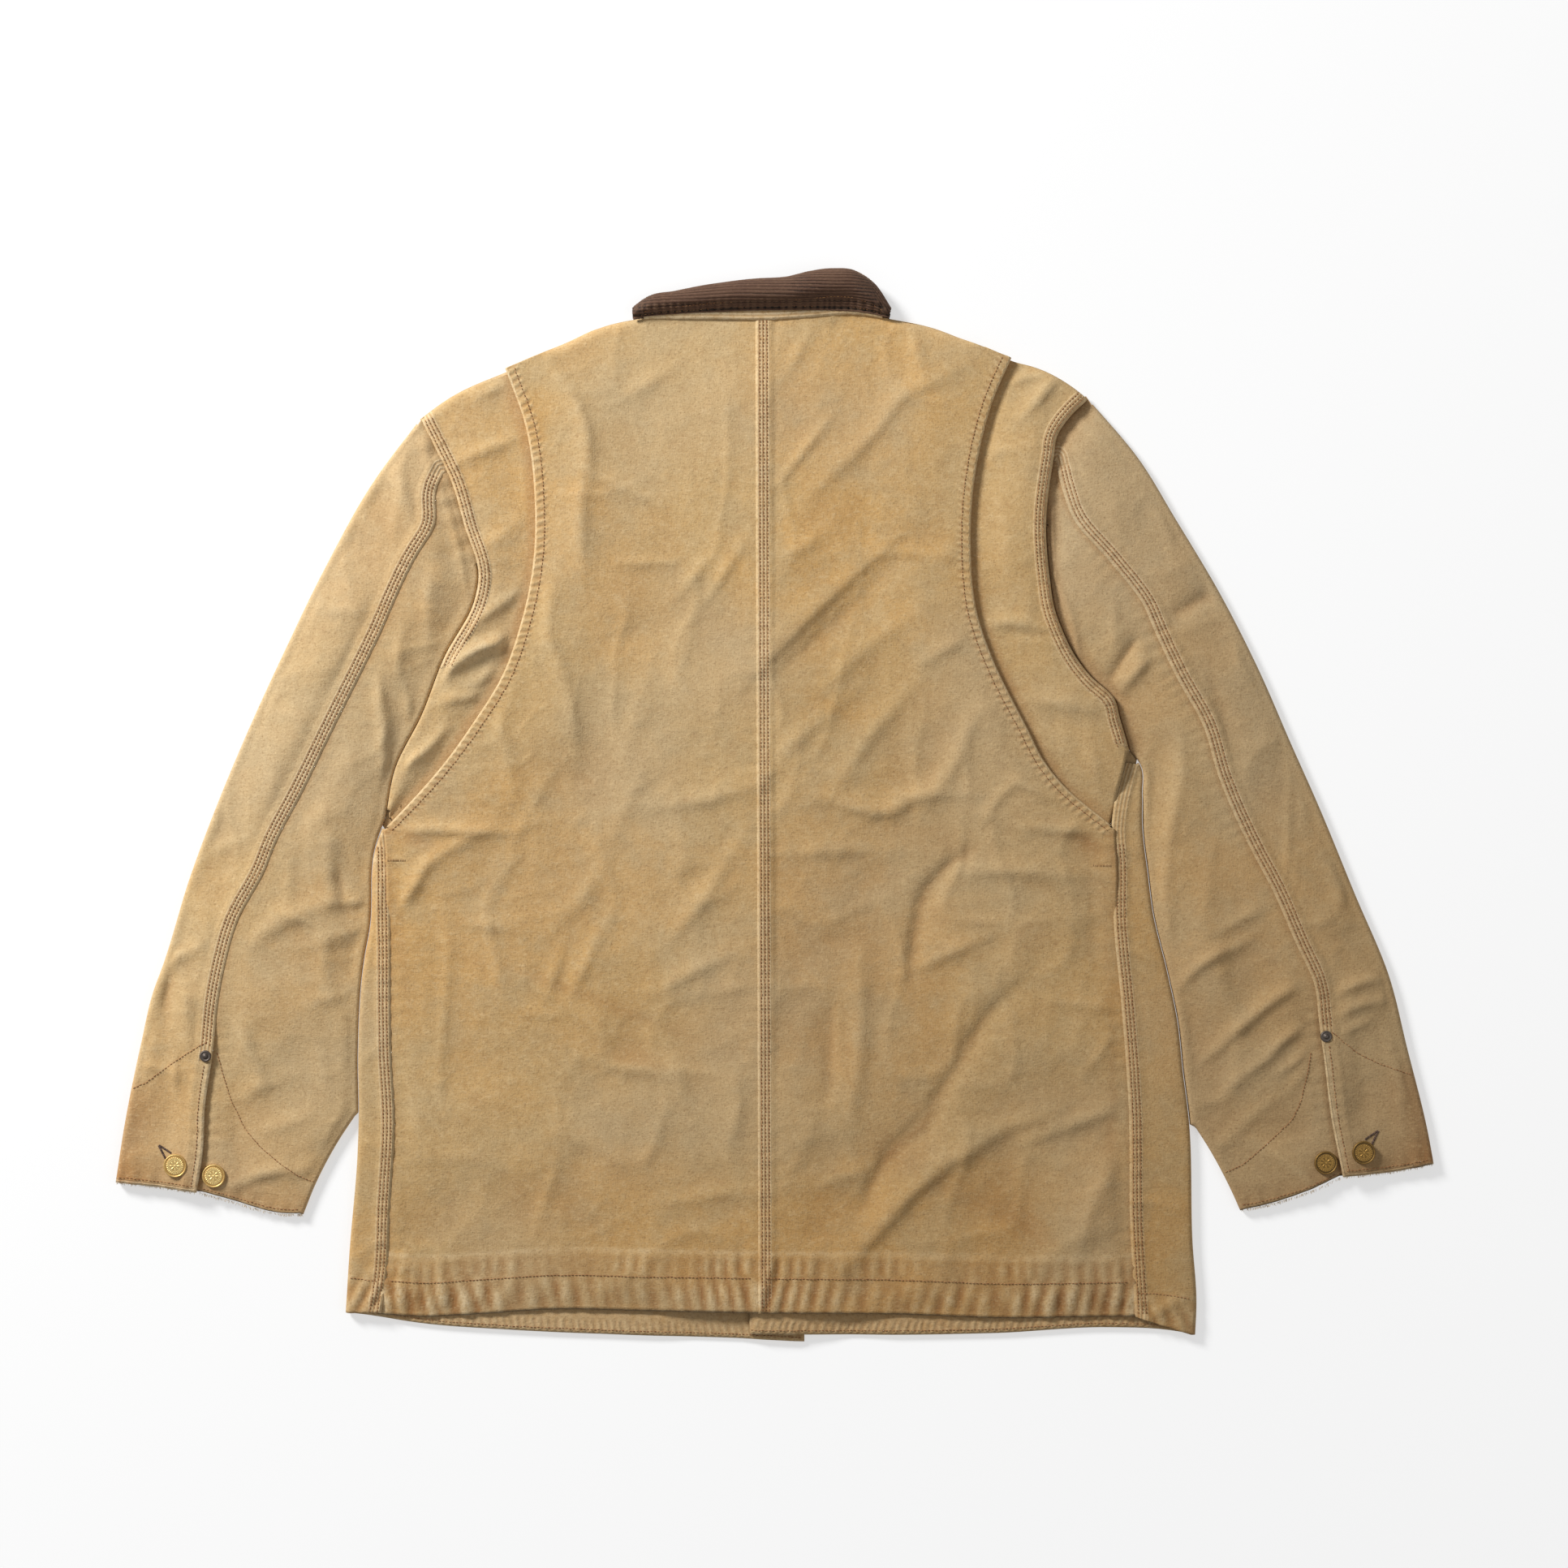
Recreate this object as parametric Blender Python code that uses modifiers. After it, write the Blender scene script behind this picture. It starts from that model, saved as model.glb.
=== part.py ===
"""Worn duck-canvas work coat with a corduroy collar, laid flat face down with its back up.

Every cloth piece is a grid placed by a function and thickened to a wall. The coat lies on
z = 0 in layers: the two fronts on the floor, the side gussets and the pleats' returns on
them, and the two backs on top. The sleeves and the fronts' sides fold round the outline.
Tables are in millimetres, from the middle of the coat: x to the viewer's right, y up the back.
"""
import math

import bmesh
import bpy
import numpy as np

MM = 0.001

# Cloth and how it lies.
WALL = 2.0
SEAM_GAP = 0.3
FLOOR_LEVEL = WALL / 2
SECOND_LEVEL = 3.4
BACK_LEVEL = 5.6
CENTRE_LEVEL = 8.7
CENTRE_RIDGE_X = -2.0
CENTRE_RIDGE_HALF = 95.0
CENTRE_SEAM_TOP = (-14.3, 371.0)
CENTRE_SEAM_HEM = (-12.2, -386.5)
PLEAT_LEVEL = 8.4
PLEAT_FOLD_RADIUS = 1.25
PLEAT_RETURN = 20.0
PLEAT_FLAT = 34.0
PLEAT_RAMP = 62.0
SIDE_LEVEL = 6.4
SIDE_START_RADIUS = 1.3
SIDE_RAMP = 45.0
GUSSET_FOLD_RADIUS = 1.4
GUSSET_RETURN = 8.0
SLEEVE_OUTER_LEVEL = 6.4
SLEEVE_SEAM_LEVEL = 6.0
SLEEVE_INNER_LEVEL = 5.0
SLEEVE_PUFF = 1.2
SLEEVE_GAP = 0.4
SLEEVE_START = 4.0
ARM_END_GAP = 0.8
NECKLINE_GAP = 0.7
SLIT_LAP = 10.0
SLIT_RISE = 2.6
SHOULDER_ROUND = 5.0
SHOULDER_END_LEVEL = 3.3
NECK_MIDDLE_X = -9.0
NECK_HALF = 86.0
STAND_LEVEL = 5.8
FALL_LEVEL = 8.2
COLLAR_RETURN = 10.0

# Closing: the left front lies lowest, the right front over it.
CLOSING_X = 1.5
LEFT_FRONT_EDGE_X = 22.5
RIGHT_FRONT_EDGE_X = -19.0
RIGHT_FRONT_LEVEL = 4.0
CLOSING_RAMP = 34.0
NECK_LEFT_X = -109.0
NECK_RIGHT_X = 88.5
NECK_Y = 369.5
NECK_DROP = 67.0
PLACKET_HALF = 11.0
PLACKET_RAMP = 15.0
# Columns beside each front's closing edge, in mm from it, and the even ones that they replace.
CLOSING_STEPS = {"left": (0.0, 11.0, 31.0, 49.0), "right": (0.0, 10.5, 31.0, 46.0, 62.0, 80.0)}
CLOSING_SKIP = {"left": 2, "right": 3}
CLOSING_BUTTONS_Y = (250.0, 105.0, -40.0, -185.0, -330.0)

# Metal: domed buttons and rivets.
BUTTON_RADIUS = 8.9
BUTTON_HEIGHT = 3.2
CLOSING_BUTTON_HEIGHT = 1.8
RIVET_RADIUS = 4.4
RIVET_HEIGHT = 2.2

# (y, x) down the edge of each pleat and on down the side seam below it.
PLEAT_EDGE = {
    "left": ((333.5, -205.5), (291.0, -190.5), (232.5, -183.0), (183.0, -184.5), (141.5, -193.0),
             (95.0, -210.0), (64.0, -229.5), (32.0, -252.5), (5.5, -275.5), (-16.0, -296.0)),
    "right": ((341.5, 180.5), (309.0, 166.5), (274.5, 157.0), (200.5, 149.5), (143.0, 155.5),
              (115.5, 165.0), (58.5, 193.0), (33.5, 206.0), (15.5, 220.5), (-15.0, 257.0)),
}
SIDE_SEAM = {
    "left": ((-16.0, -296.0), (-91.0, -293.5), (-190.5, -292.5), (-239.5, -290.0),
             (-305.5, -293.5), (-357.5, -296.0), (-388.0, -300.5)),
    "right": ((-15.0, 257.0), (-46.0, 258.5), (-85.0, 258.5), (-147.0, 264.0), (-230.0, 270.0),
              (-317.0, 271.0), (-389.5, 275.0)),
}
# (y, x) of the side seam above the pleat's end, and the gusset's lower end: (x, y) to the armpit.
UPPER_SEAM = {"left": ((-9.5, -297.0),), "right": ((42.0, 270.0), (18.5, 263.0), (1.0, 259.0))}
GUSSET_END = {
    "left": ((-282.0, 0.0), (-294.6, -9.5)),
    "right": ((244.0, -30.0), (256.5, -14.0), (259.6, 8.0), (263.6, 25.0), (267.8, 41.5)),
}
# Close levels of the body's side just under the armpit.
UNDER_ARM = {"left": (-20.0, -36.0, -60.0), "right": (31.0, 10.0, -15.0)}
# (y, x) down the armhole and the gusset's fold below it, to the armpit.
ARMHOLE = {
    "left": ((295.5, -270.5), (268.5, -257.0), (250.0, -248.0), (214.0, -237.0), (174.0, -226.0),
             (155.5, -229.5), (114.5, -251.5), (68.0, -270.0), (30.0, -289.0), (-9.5, -297.0)),
    "right": ((310.5, 239.5), (298.0, 226.5), (283.0, 216.0), (266.0, 213.0), (213.5, 207.0),
              (172.5, 210.0), (150.5, 213.5), (131.5, 220.5), (114.0, 229.5), (98.0, 242.0),
              (84.0, 257.5), (66.0, 263.5), (42.0, 270.5)),
}
# (y, x) down the fold at the body's side, from the armpit to the hem.
SIDE_FOLD = {
    "left": ((-9.5, -297.0), (-29.0, -304.0), (-94.0, -309.0), (-116.0, -313.0), (-190.5, -318.0),
             (-234.5, -317.5), (-266.0, -318.5), (-339.0, -324.5), (-386.5, -327.5)),
    "right": ((42.0, 270.5), (33.0, 278.0), (8.5, 280.5), (-13.5, 280.5), (-53.5, 285.0),
              (-80.5, 288.5), (-126.5, 299.5), (-165.0, 307.5), (-202.5, 311.5), (-238.0, 316.0),
              (-333.0, 319.0), (-380.0, 322.0), (-403.5, 321.0)),
}
# (y, x) down the sleeve's outer fold, its back seam and slit, and its inner fold past the body.
SLEEVE_OUTER = {
    "left": ((295.5, -270.5), (248.5, -305.5), (184.0, -342.0), (120.5, -373.0), (58.5, -401.5),
             (7.5, -423.0), (-53.5, -446.0), (-123.0, -467.5), (-140.5, -474.0), (-180.5, -483.5),
             (-247.5, -497.0), (-287.0, -503.0)),
    "right": ((310.5, 239.5), (266.0, 277.0), (219.0, 306.0), (161.0, 340.5), (106.0, 368.5),
              (45.5, 395.0), (0.5, 415.0), (-67.5, 443.0), (-130.0, 469.0), (-183.5, 482.5),
              (-251.0, 499.0), (-273.0, 503.0)),
}
SLEEVE_SEAM = {
    "left": ((255.5, -252.0), (244.0, -257.5), (212.0, -260.0), (189.5, -273.5), (125.0, -303.5),
             (58.5, -336.5), (9.5, -360.5), (-27.5, -380.0), (-50.0, -389.0), (-87.0, -409.0),
             (-121.5, -419.0), (-154.5, -425.0), (-185.5, -428.0), (-227.0, -434.0),
             (-266.0, -436.0), (-294.5, -440.5)),
    "right": ((264.5, 214.5), (242.5, 219.5), (217.0, 229.0), (185.5, 256.0), (152.0, 281.5),
              (134.5, 289.0), (98.5, 306.0), (61.0, 326.5), (23.0, 338.0), (-27.5, 360.0),
              (-65.5, 380.0), (-105.5, 397.5), (-137.0, 411.5), (-165.0, 415.0), (-194.0, 419.0),
              (-236.0, 424.0), (-282.5, 433.0)),
}
SLEEVE_INNER = {
    "left": ((-234.5, -318.5), (-256.5, -333.0), (-288.5, -350.0), (-312.0, -359.5)),
    "right": ((-243.5, 319.5), (-261.5, 331.0), (-294.5, 348.5), (-309.0, 355.0)),
}
# (x, y) along the shoulders, the neck seam, the hems and the cuffs.
SHOULDER = {
    "left": ((-270.5, 295.5), (-249.5, 311.0), (-219.0, 326.0), (-206.0, 331.0)),
    "right": ((184.0, 338.5), (198.0, 335.0), (226.5, 320.5), (239.5, 310.5)),
}
BACK_TOP = {
    "left": ((-205.5, 333.5), (-188.0, 341.0), (-158.0, 353.5), (-134.0, 364.5), (-109.5, 370.5),
             (-65.0, 371.5), (-13.5, 371.0)),
    "right": ((180.5, 341.5), (151.0, 353.0), (122.5, 364.0), (89.5, 371.0), (60.0, 375.0),
              (28.0, 373.0), (-12.0, 371.0)),
}
BACK_HEM = {
    "left": ((-300.5, -388.0), (-272.5, -390.0), (-225.5, -388.0), (-172.5, -384.5),
             (-96.0, -385.5), (-13.0, -386.5)),
    "right": ((275.0, -389.5), (216.0, -390.5), (184.5, -391.0), (94.0, -388.0), (-12.0, -386.5)),
}
FRONT_HEM = {
    "left": ((-327.5, -386.5), (-310.5, -388.5), (-272.5, -394.5), (-201.0, -400.0),
             (-122.5, -403.5), (-27.5, -406.5), (22.5, -409.0)),
    "right": ((321.0, -403.5), (300.0, -400.0), (256.0, -398.0), (169.0, -402.5),
              (127.5, -403.5), (-19.0, -403.0)),
}
CUFF = {
    "left": ((-503.0, -287.0), (-462.0, -291.5), (-441.0, -294.5)),
    "right": ((503.0, -273.0), (475.0, -278.5), (433.5, -282.5)),
}
UNDER_CUFF = {
    "left": ((-440.0, -295.0), (-419.5, -300.5), (-375.0, -312.0), (-359.5, -312.0)),
    "right": ((432.5, -283.5), (416.5, -291.0), (377.5, -304.5), (355.0, -309.0)),
}
# Collar, from its left end to its right: x, the cord's lower edge, its top and the roll's height.
COLLAR = ((-108.0, 371.5, 380.0, 12.0), (-98.0, 373.0, 387.5, 15.0), (-74.5, 375.0, 393.0, 17.0),
          (-43.5, 375.5, 398.0, 18.5), (-15.0, 375.0, 401.0, 19.0), (8.5, 375.5, 402.5, 20.0),
          (27.0, 376.5, 407.0, 21.5), (43.5, 377.5, 409.0, 22.0), (63.0, 377.5, 406.5, 20.5),
          (76.0, 375.0, 397.0, 17.0), (87.5, 372.0, 379.5, 12.0))
# Largest folds: from x, y to x, y, how wide and how high; a low one is a trough.
BACK_FOLDS = (
    (85.0, -330.0, 270.0, -240.0, 13.0, 2.6),
    (20.0, -150.0, 110.0, -125.0, 14.0, 2.0),
    (100.0, -290.0, 190.0, -215.0, 11.0, 1.8),
    (-160.0, 120.0, -135.0, 0.0, 14.0, 1.6),
    (-285.0, -22.0, -215.0, -26.0, 9.0, 1.8),
    (-290.0, -70.0, -225.0, -30.0, 11.0, 1.8),
    (30.0, 120.0, 110.0, 190.0, 12.0, 1.6),
    (195.0, -10.0, 245.0, -45.0, 10.0, 1.8),
    (140.0, -90.0, 200.0, -20.0, 13.0, 1.8),
    (-230.0, -300.0, -110.0, -330.0, 18.0, 1.4),
)
GUSSET_FOLDS = {
    "left": ((-203.0, 142.0, -258.0, 108.0, 6.0, 4.2), (-225.0, 96.0, -262.0, 72.0, 6.0, 3.0),
             (-258.0, 52.0, -282.0, 30.0, 7.0, 2.6), (-222.0, 322.0, -212.0, 322.0, 5.0, 1.6)),
    "right": ((170.0, 150.0, 210.0, 128.0, 8.0, 2.4), (232.0, 60.0, 250.0, 20.0, 9.0, 3.0),
              (176.0, 328.0, 215.0, 330.0, 5.0, 2.0)),
}
SLEEVE_FOLDS = {
    "left": ((-292.0, 110.0, -300.0, 30.0, 9.0, 2.4), (-380.0, -90.0, -322.0, -125.0, 12.0, 2.4),
             (-352.0, 10.0, -334.0, -75.0, 11.0, 2.0), (-418.0, -165.0, -388.0, -215.0, 8.0, 2.4),
             (-466.0, -135.0, -432.0, -124.0, 8.0, 2.4), (-400.0, -240.0, -375.0, -225.0, 8.0, 1.6),
             (-405.0, -292.0, -372.0, -284.0, 8.0, 2.0)),
    "right": ((258.0, 110.0, 300.0, 142.0, 11.0, 3.2), (305.0, 140.0, 350.0, 168.0, 11.0, 2.6),
              (328.0, 40.0, 352.0, 88.0, 11.0, 2.8), (330.0, -165.0, 400.0, -115.0, 13.0, 2.8),
              (345.0, -215.0, 405.0, -160.0, 11.0, 2.4), (300.0, 40.0, 288.0, -60.0, 12.0, 2.4),
              (425.0, -160.0, 460.0, -132.0, 8.0, 2.2)),
}

# Buttons and rivets on the cuffs: x, y.
CUFF_BUTTONS = {
    "left": {"outer": (-456.5, -274.0), "inner": (-427.5, -282.0)},
    "right": {"outer": (448.5, -264.0), "inner": (420.0, -272.0)},
}
RIVETS = {"left": (-433.5, -190.5), "right": (420.0, -175.5)}

# Cells of each grid. Neighbours share their rows, so that their seams match.
ARM_ROWS = 14
SHARED_ARM_ROWS = 5
PLEAT_ROWS = 13
SLEEVE_SIDE_ROWS = 7
LOWER_SIDE_ROWS = 5
WRIST_ROWS = 3
BACK_COLUMNS = 11
SCOOP_COLUMNS = 4
SHOULDER_COLUMNS = 4
STRIP_COLUMNS = 2
GUSSET_COLUMNS = 7
SLEEVE_COLUMNS = 5
SLEEVE_FLOOR_COLUMNS = 3
COLLAR_COLUMNS = 18
FALL_CELLS = 5
ROLL_CELLS = 6
FOLD_CELLS = 4
TURNED_STEPS = 20

INWARD = {"left": 1.0, "right": -1.0}
COLOURS = {
    "canvas": ((0.60, 0.43, 0.24, 1.0), 0.92, 0.0),
    "corduroy": ((0.10, 0.055, 0.035, 1.0), 0.85, 0.0),
    "brass": ((0.62, 0.47, 0.20, 1.0), 0.30, 1.0),
    "dark_metal": ((0.12, 0.11, 0.10, 1.0), 0.40, 1.0),
}


def through(rows, at):
    """Smooth values at `at` through a table's (place, value) rows, whichever way it runs."""
    table = np.array(sorted(rows))
    place, value = table[:, 0], table[:, 1]
    slope = np.gradient(value, place)
    at = np.clip(np.asarray(at, dtype=float), place[0], place[-1])
    k = np.clip(np.searchsorted(place, at) - 1, 0, len(place) - 2)
    width = place[k + 1] - place[k]
    t = (at - place[k]) / width
    start = value[k] * (1 + 2 * t) * (1 - t) ** 2 + width * slope[k] * t * (1 - t) ** 2
    end = value[k + 1] * t ** 2 * (3 - 2 * t) - width * slope[k + 1] * t ** 2 * (1 - t)
    return start + end


def down(rows, y):
    """Points at the levels y of a line that runs down the coat, from its (y, x) rows."""
    return np.stack([through(rows, y), np.asarray(y, dtype=float)], axis=-1)


def across(rows, x):
    """Points at the places x of a line that runs across the coat, from its (x, y) rows."""
    return np.stack([np.asarray(x, dtype=float), through(rows, x)], axis=-1)


def moved(line, distance):
    """A line moved to the left of its own direction by a distance, or by one at each point."""
    step = np.gradient(line, axis=0)
    step /= np.linalg.norm(step, axis=1, keepdims=True)
    return line + np.stack([-step[:, 1], step[:, 0]], axis=-1) * np.reshape(distance, (-1, 1))


def picked(line, t):
    """Points at the fractions t of a line's points."""
    place = np.clip(t, 0, 1) * (len(line) - 1)
    k = np.clip(place.astype(int), 0, len(line) - 2)
    part = (place - k).reshape([-1] + [1] * (line.ndim - 1))
    return line[k] * (1 - part) + line[k + 1] * part


def ease(t):
    """0 to 1 with soft ends."""
    t = np.clip(t, 0.0, 1.0)
    return t * t * (3 - 2 * t)


def patch(near, far, top, bottom, u, v):
    """Plan points between four lines: near and far have a point a row, top and bottom one a column."""
    wide, tall = u[None, :, None], v[:, None, None]
    rails = near[:, None] * (1 - wide) + far[:, None] * wide
    ends = top[None] * (1 - tall) + bottom[None] * tall
    corners = ((top[0] * (1 - wide) + top[-1] * wide) * (1 - tall)
               + (bottom[0] * (1 - wide) + bottom[-1] * wide) * tall)
    return rails + ends - corners


def distance(points, line):
    """Distance in plan from each point to a line."""
    flat = points[..., :2].reshape(-1, 2)
    best = np.full(len(flat), np.inf)
    for a, b in zip(line[:-1], line[1:]):
        step = b - a
        t = np.clip(((flat - a) @ step) / (step @ step + 1e-12), 0, 1)
        best = np.minimum(best, np.linalg.norm(flat - a - t[:, None] * step, axis=1))
    return best.reshape(points.shape[:-1])


def folds(points, table):
    """Height of soft folds: each is a ridge along a short line and fades out past its ends."""
    height = np.zeros(points.shape[:-1])
    for x0, y0, x1, y1, width, rise in table:
        step = np.array([x1 - x0, y1 - y0])
        length = np.linalg.norm(step)
        away = points[..., :2] - np.array([x0, y0])
        along = (away @ step) / length
        beside = (away @ np.array([-step[1], step[0]])) / length
        past = np.maximum(np.maximum(-along, along - length), 0.0)
        height += rise * np.exp(-(beside / width) ** 2 - (past / (2 * width)) ** 2)
    return height


def raised(xy, z):
    """Plan points with their heights."""
    return np.concatenate([xy, np.broadcast_to(z, xy.shape[:-1])[..., None]], axis=-1)


def half_turn(edge, inward, high, low, cells):
    """Columns of cloth that rounds an edge from the level high to the level low, ends left out."""
    radius = np.broadcast_to(np.maximum(np.asarray(high) - low, 0.0) / 2, len(edge))
    middle = moved(edge, inward * (radius + WALL / 2))
    out = moved(edge, -inward) - edge
    columns = []
    for k in range(1, cells):
        angle = math.pi * k / cells
        columns.append(raised(middle + out * (math.sin(angle) * radius)[:, None],
                              low + radius * (1 + math.cos(angle))))
    return np.stack(columns, axis=1)


def shoulder_round(points, height, edge, share):
    """Heights of a top sheet that rounds down to the shoulder seam along an edge."""
    t = np.clip((distance(points, edge) - WALL / 2) / SHOULDER_ROUND, 0, 1)
    lowered = SHOULDER_END_LEVEL + (height - SHOULDER_END_LEVEL) * np.sqrt(1 - (1 - t) ** 2)
    return height + (lowered - height) * share


def edge_rows(count, length):
    """Fractions down a piece: close rows where the cloth rounds its top edge, then even ones."""
    close = np.array([WALL / 2, 1.7, 3.3, SHOULDER_ROUND + WALL / 2])
    return np.concatenate([close / length, np.arange(1, count + 1) / count])


# The lines that pieces share.

def armhole_line(side):
    return down(ARMHOLE[side], np.linspace(ARMHOLE[side][0][0], ARMHOLE[side][-1][0], ARM_ROWS + 1))


def on_armhole(side, y):
    """Points at the levels y on the straight runs between the armhole's own points."""
    line = armhole_line(side)[::-1]
    return np.stack([np.interp(y, line[:, 1], line[:, 0]), y], axis=-1)


def side_levels(side):
    """Levels down the body's side: close ones under the arm, even ones by the sleeve and below."""
    parting, hem = SLEEVE_INNER[side][0][0], SIDE_FOLD[side][-1][0]
    beside = np.linspace(UNDER_ARM[side][-1], parting, SLEEVE_SIDE_ROWS + 1)
    below = np.linspace(parting, hem, LOWER_SIDE_ROWS + 1)
    return np.concatenate([UNDER_ARM[side], beside[1:], below[1:]])


def side_line(side):
    return down(SIDE_FOLD[side], side_levels(side))


def pleat_line(side):
    rows = PLEAT_EDGE[side]
    return down(rows, np.linspace(rows[0][0], rows[-1][0], PLEAT_ROWS + 1))


def seam_line(side):
    """The side seam from the pleat's end to the hem, at the side's own rows."""
    pleat_end, hem = PLEAT_EDGE[side][-1][0], SIDE_SEAM[side][-1][0]
    levels = side_levels(side)
    below = levels[levels < pleat_end - 12]
    return down(UPPER_SEAM[side] + SIDE_SEAM[side], np.concatenate([[pleat_end], below[:-1], [hem]]))


def shoulder_rows(side):
    """(x, y) rows along the top of the coat from the neck to the armhole, past the pleat's own corner."""
    return tuple(sorted(SHOULDER[side] + BACK_TOP[side][1:]))


def scoop(x):
    """Front neckline: half an ellipse on each side of the closing."""
    half = np.where(x < CLOSING_X, CLOSING_X - NECK_LEFT_X, NECK_RIGHT_X - CLOSING_X)
    return NECK_Y - NECK_DROP * np.sqrt(np.clip(1 - ((x - CLOSING_X) / half) ** 2, 0, 1))


def front_top(side):
    """Top line of a front, from its closing edge round the neckline and out along the shoulder."""
    edge_x = LEFT_FRONT_EDGE_X if side == "left" else RIGHT_FRONT_EDGE_X
    neck_x = NECK_LEFT_X if side == "left" else NECK_RIGHT_X
    turn = np.linspace(0, math.pi / 2, SCOOP_COLUMNS + 1)
    places = edge_x + (neck_x - edge_x) * np.sin(turn)
    neck = np.stack([places, scoop(places)], axis=-1)
    places = np.linspace(neck_x, armhole_line(side)[0, 0], SHOULDER_COLUMNS + 1)
    shoulder = across(shoulder_rows(side), places)
    shoulder[:, 1] -= WALL / 2
    return np.concatenate([neck[:-1], shoulder])


# How the pieces lie.

def back_points(side):
    """A back: its sheet, then the pleat's fold and return beside its upper rows."""
    inward = INWARD[side]
    outline = np.concatenate([pleat_line(side), seam_line(side)[1:]])
    count = len(outline) - 1
    v = edge_rows(count, CENTRE_SEAM_TOP[1] - CENTRE_SEAM_HEM[1])
    edge = picked(outline, v)
    pleated = v * count < PLEAT_ROWS + 0.5
    inset = np.where(pleated, PLEAT_FOLD_RADIUS + WALL / 2, SEAM_GAP / 2)
    far = moved(edge, inward * inset)
    near = np.linspace(CENTRE_SEAM_TOP, CENTRE_SEAM_HEM, 2)
    near = picked(near, v) - np.array([inward * SEAM_GAP / 2, 0.0])
    u = np.linspace(0, 1, BACK_COLUMNS + 1)
    top = across(BACK_TOP[side], np.linspace(near[0, 0], outline[0, 0], BACK_COLUMNS + 1))
    hem = across(BACK_HEM[side], np.linspace(near[-1, 0], far[-1, 0], BACK_COLUMNS + 1))
    sheet = patch(near, far, top, hem, u, v)
    to_pleat, to_seam = distance(sheet, pleat_line(side)), distance(sheet, seam_line(side))
    at_centre = ease(1 - np.abs(sheet[..., 0] - CENTRE_RIDGE_X) / CENTRE_RIDGE_HALF)
    at_centre *= (CENTRE_LEVEL - BACK_LEVEL) * ease((CENTRE_SEAM_TOP[1] - sheet[..., 1]) / 60.0)
    at_pleat = (PLEAT_LEVEL - BACK_LEVEL) * ease(1 - (to_pleat - PLEAT_FLAT) / PLEAT_RAMP)
    at_side = (SIDE_LEVEL - BACK_LEVEL) * ease(1 - to_seam / SIDE_RAMP)
    height = BACK_LEVEL + np.maximum(np.maximum(at_centre, at_pleat), at_side)
    height += folds(sheet, BACK_FOLDS) * ease((to_pleat - 4.0) / 20.0) * ease((to_seam - 4.0) / 20.0)
    outline_top = across(BACK_TOP[side], np.linspace(near[0, 0], outline[0, 0], 60))
    past_neck = ease((np.abs(sheet[..., 0] - NECK_MIDDLE_X) - NECK_HALF) / 14.0)
    height = shoulder_round(sheet, height, outline_top, past_neck * ease((to_pleat - 26.0) / 22.0))
    low = PLEAT_LEVEL - 2 * PLEAT_FOLD_RADIUS
    turn = half_turn(edge, inward, PLEAT_LEVEL, low, FOLD_CELLS)
    hidden = [raised(moved(edge, inward * (inset + PLEAT_RETURN * k / 2)), low) for k in range(3)]
    points = np.concatenate([raised(sheet, height), turn, np.stack(hidden, axis=1)], axis=1)
    kept = np.ones(points.shape[:2], dtype=bool)
    kept[:, BACK_COLUMNS + 1:] = pleated[:, None]
    return points, kept


def gusset_points(side):
    """A gusset: flat under the pleat, climbing to the armhole's edge, and turned under there."""
    inward = INWARD[side]
    v = edge_rows(ARM_ROWS, PLEAT_EDGE[side][0][0] - PLEAT_EDGE[side][-1][0])
    edge = picked(armhole_line(side), v)
    inset = GUSSET_FOLD_RADIUS + WALL / 2
    near = picked(moved(pleat_line(side), inward * (PLEAT_RETURN + 2.0)), v)
    far = moved(edge, inward * inset)
    u = np.linspace(0, 1, GUSSET_COLUMNS + 1)
    outline = across(shoulder_rows(side), np.linspace(near[0, 0], edge[0, 0], 60))
    top = across(shoulder_rows(side), np.linspace(near[0, 0], far[0, 0], GUSSET_COLUMNS + 1))
    bottom = picked(np.array(GUSSET_END[side]), u)
    near[-1], far[-1] = bottom[0], bottom[-1]
    sheet = patch(near, far, top, bottom, u, v)
    past_pleat = np.maximum(distance(sheet, near) - PLEAT_RETURN - 6.0, 0.0)
    to_edge = distance(sheet, edge)
    climb = ease(1.4 * past_pleat / (past_pleat + to_edge + 1e-6))
    height = SECOND_LEVEL + 2 * GUSSET_FOLD_RADIUS * climb
    height += folds(sheet, GUSSET_FOLDS[side]) * ease(past_pleat / 10.0) * ease((to_edge - 3.0) / 8.0)
    height = shoulder_round(sheet, height, outline, 1.0)
    high = height[:, -1]
    doubled = high - SECOND_LEVEL > 2 * GUSSET_FOLD_RADIUS - 0.3
    turn = half_turn(edge, inward, high, SECOND_LEVEL, FOLD_CELLS)
    hidden = [raised(moved(edge, inward * (inset + GUSSET_RETURN * k)), SECOND_LEVEL) for k in range(2)]
    points = np.concatenate([raised(sheet, height), turn, np.stack(hidden, axis=1)], axis=1)
    kept = np.ones(points.shape[:2], dtype=bool)
    kept[:, GUSSET_COLUMNS + 1:] = doubled[:, None]
    return points, kept


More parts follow.
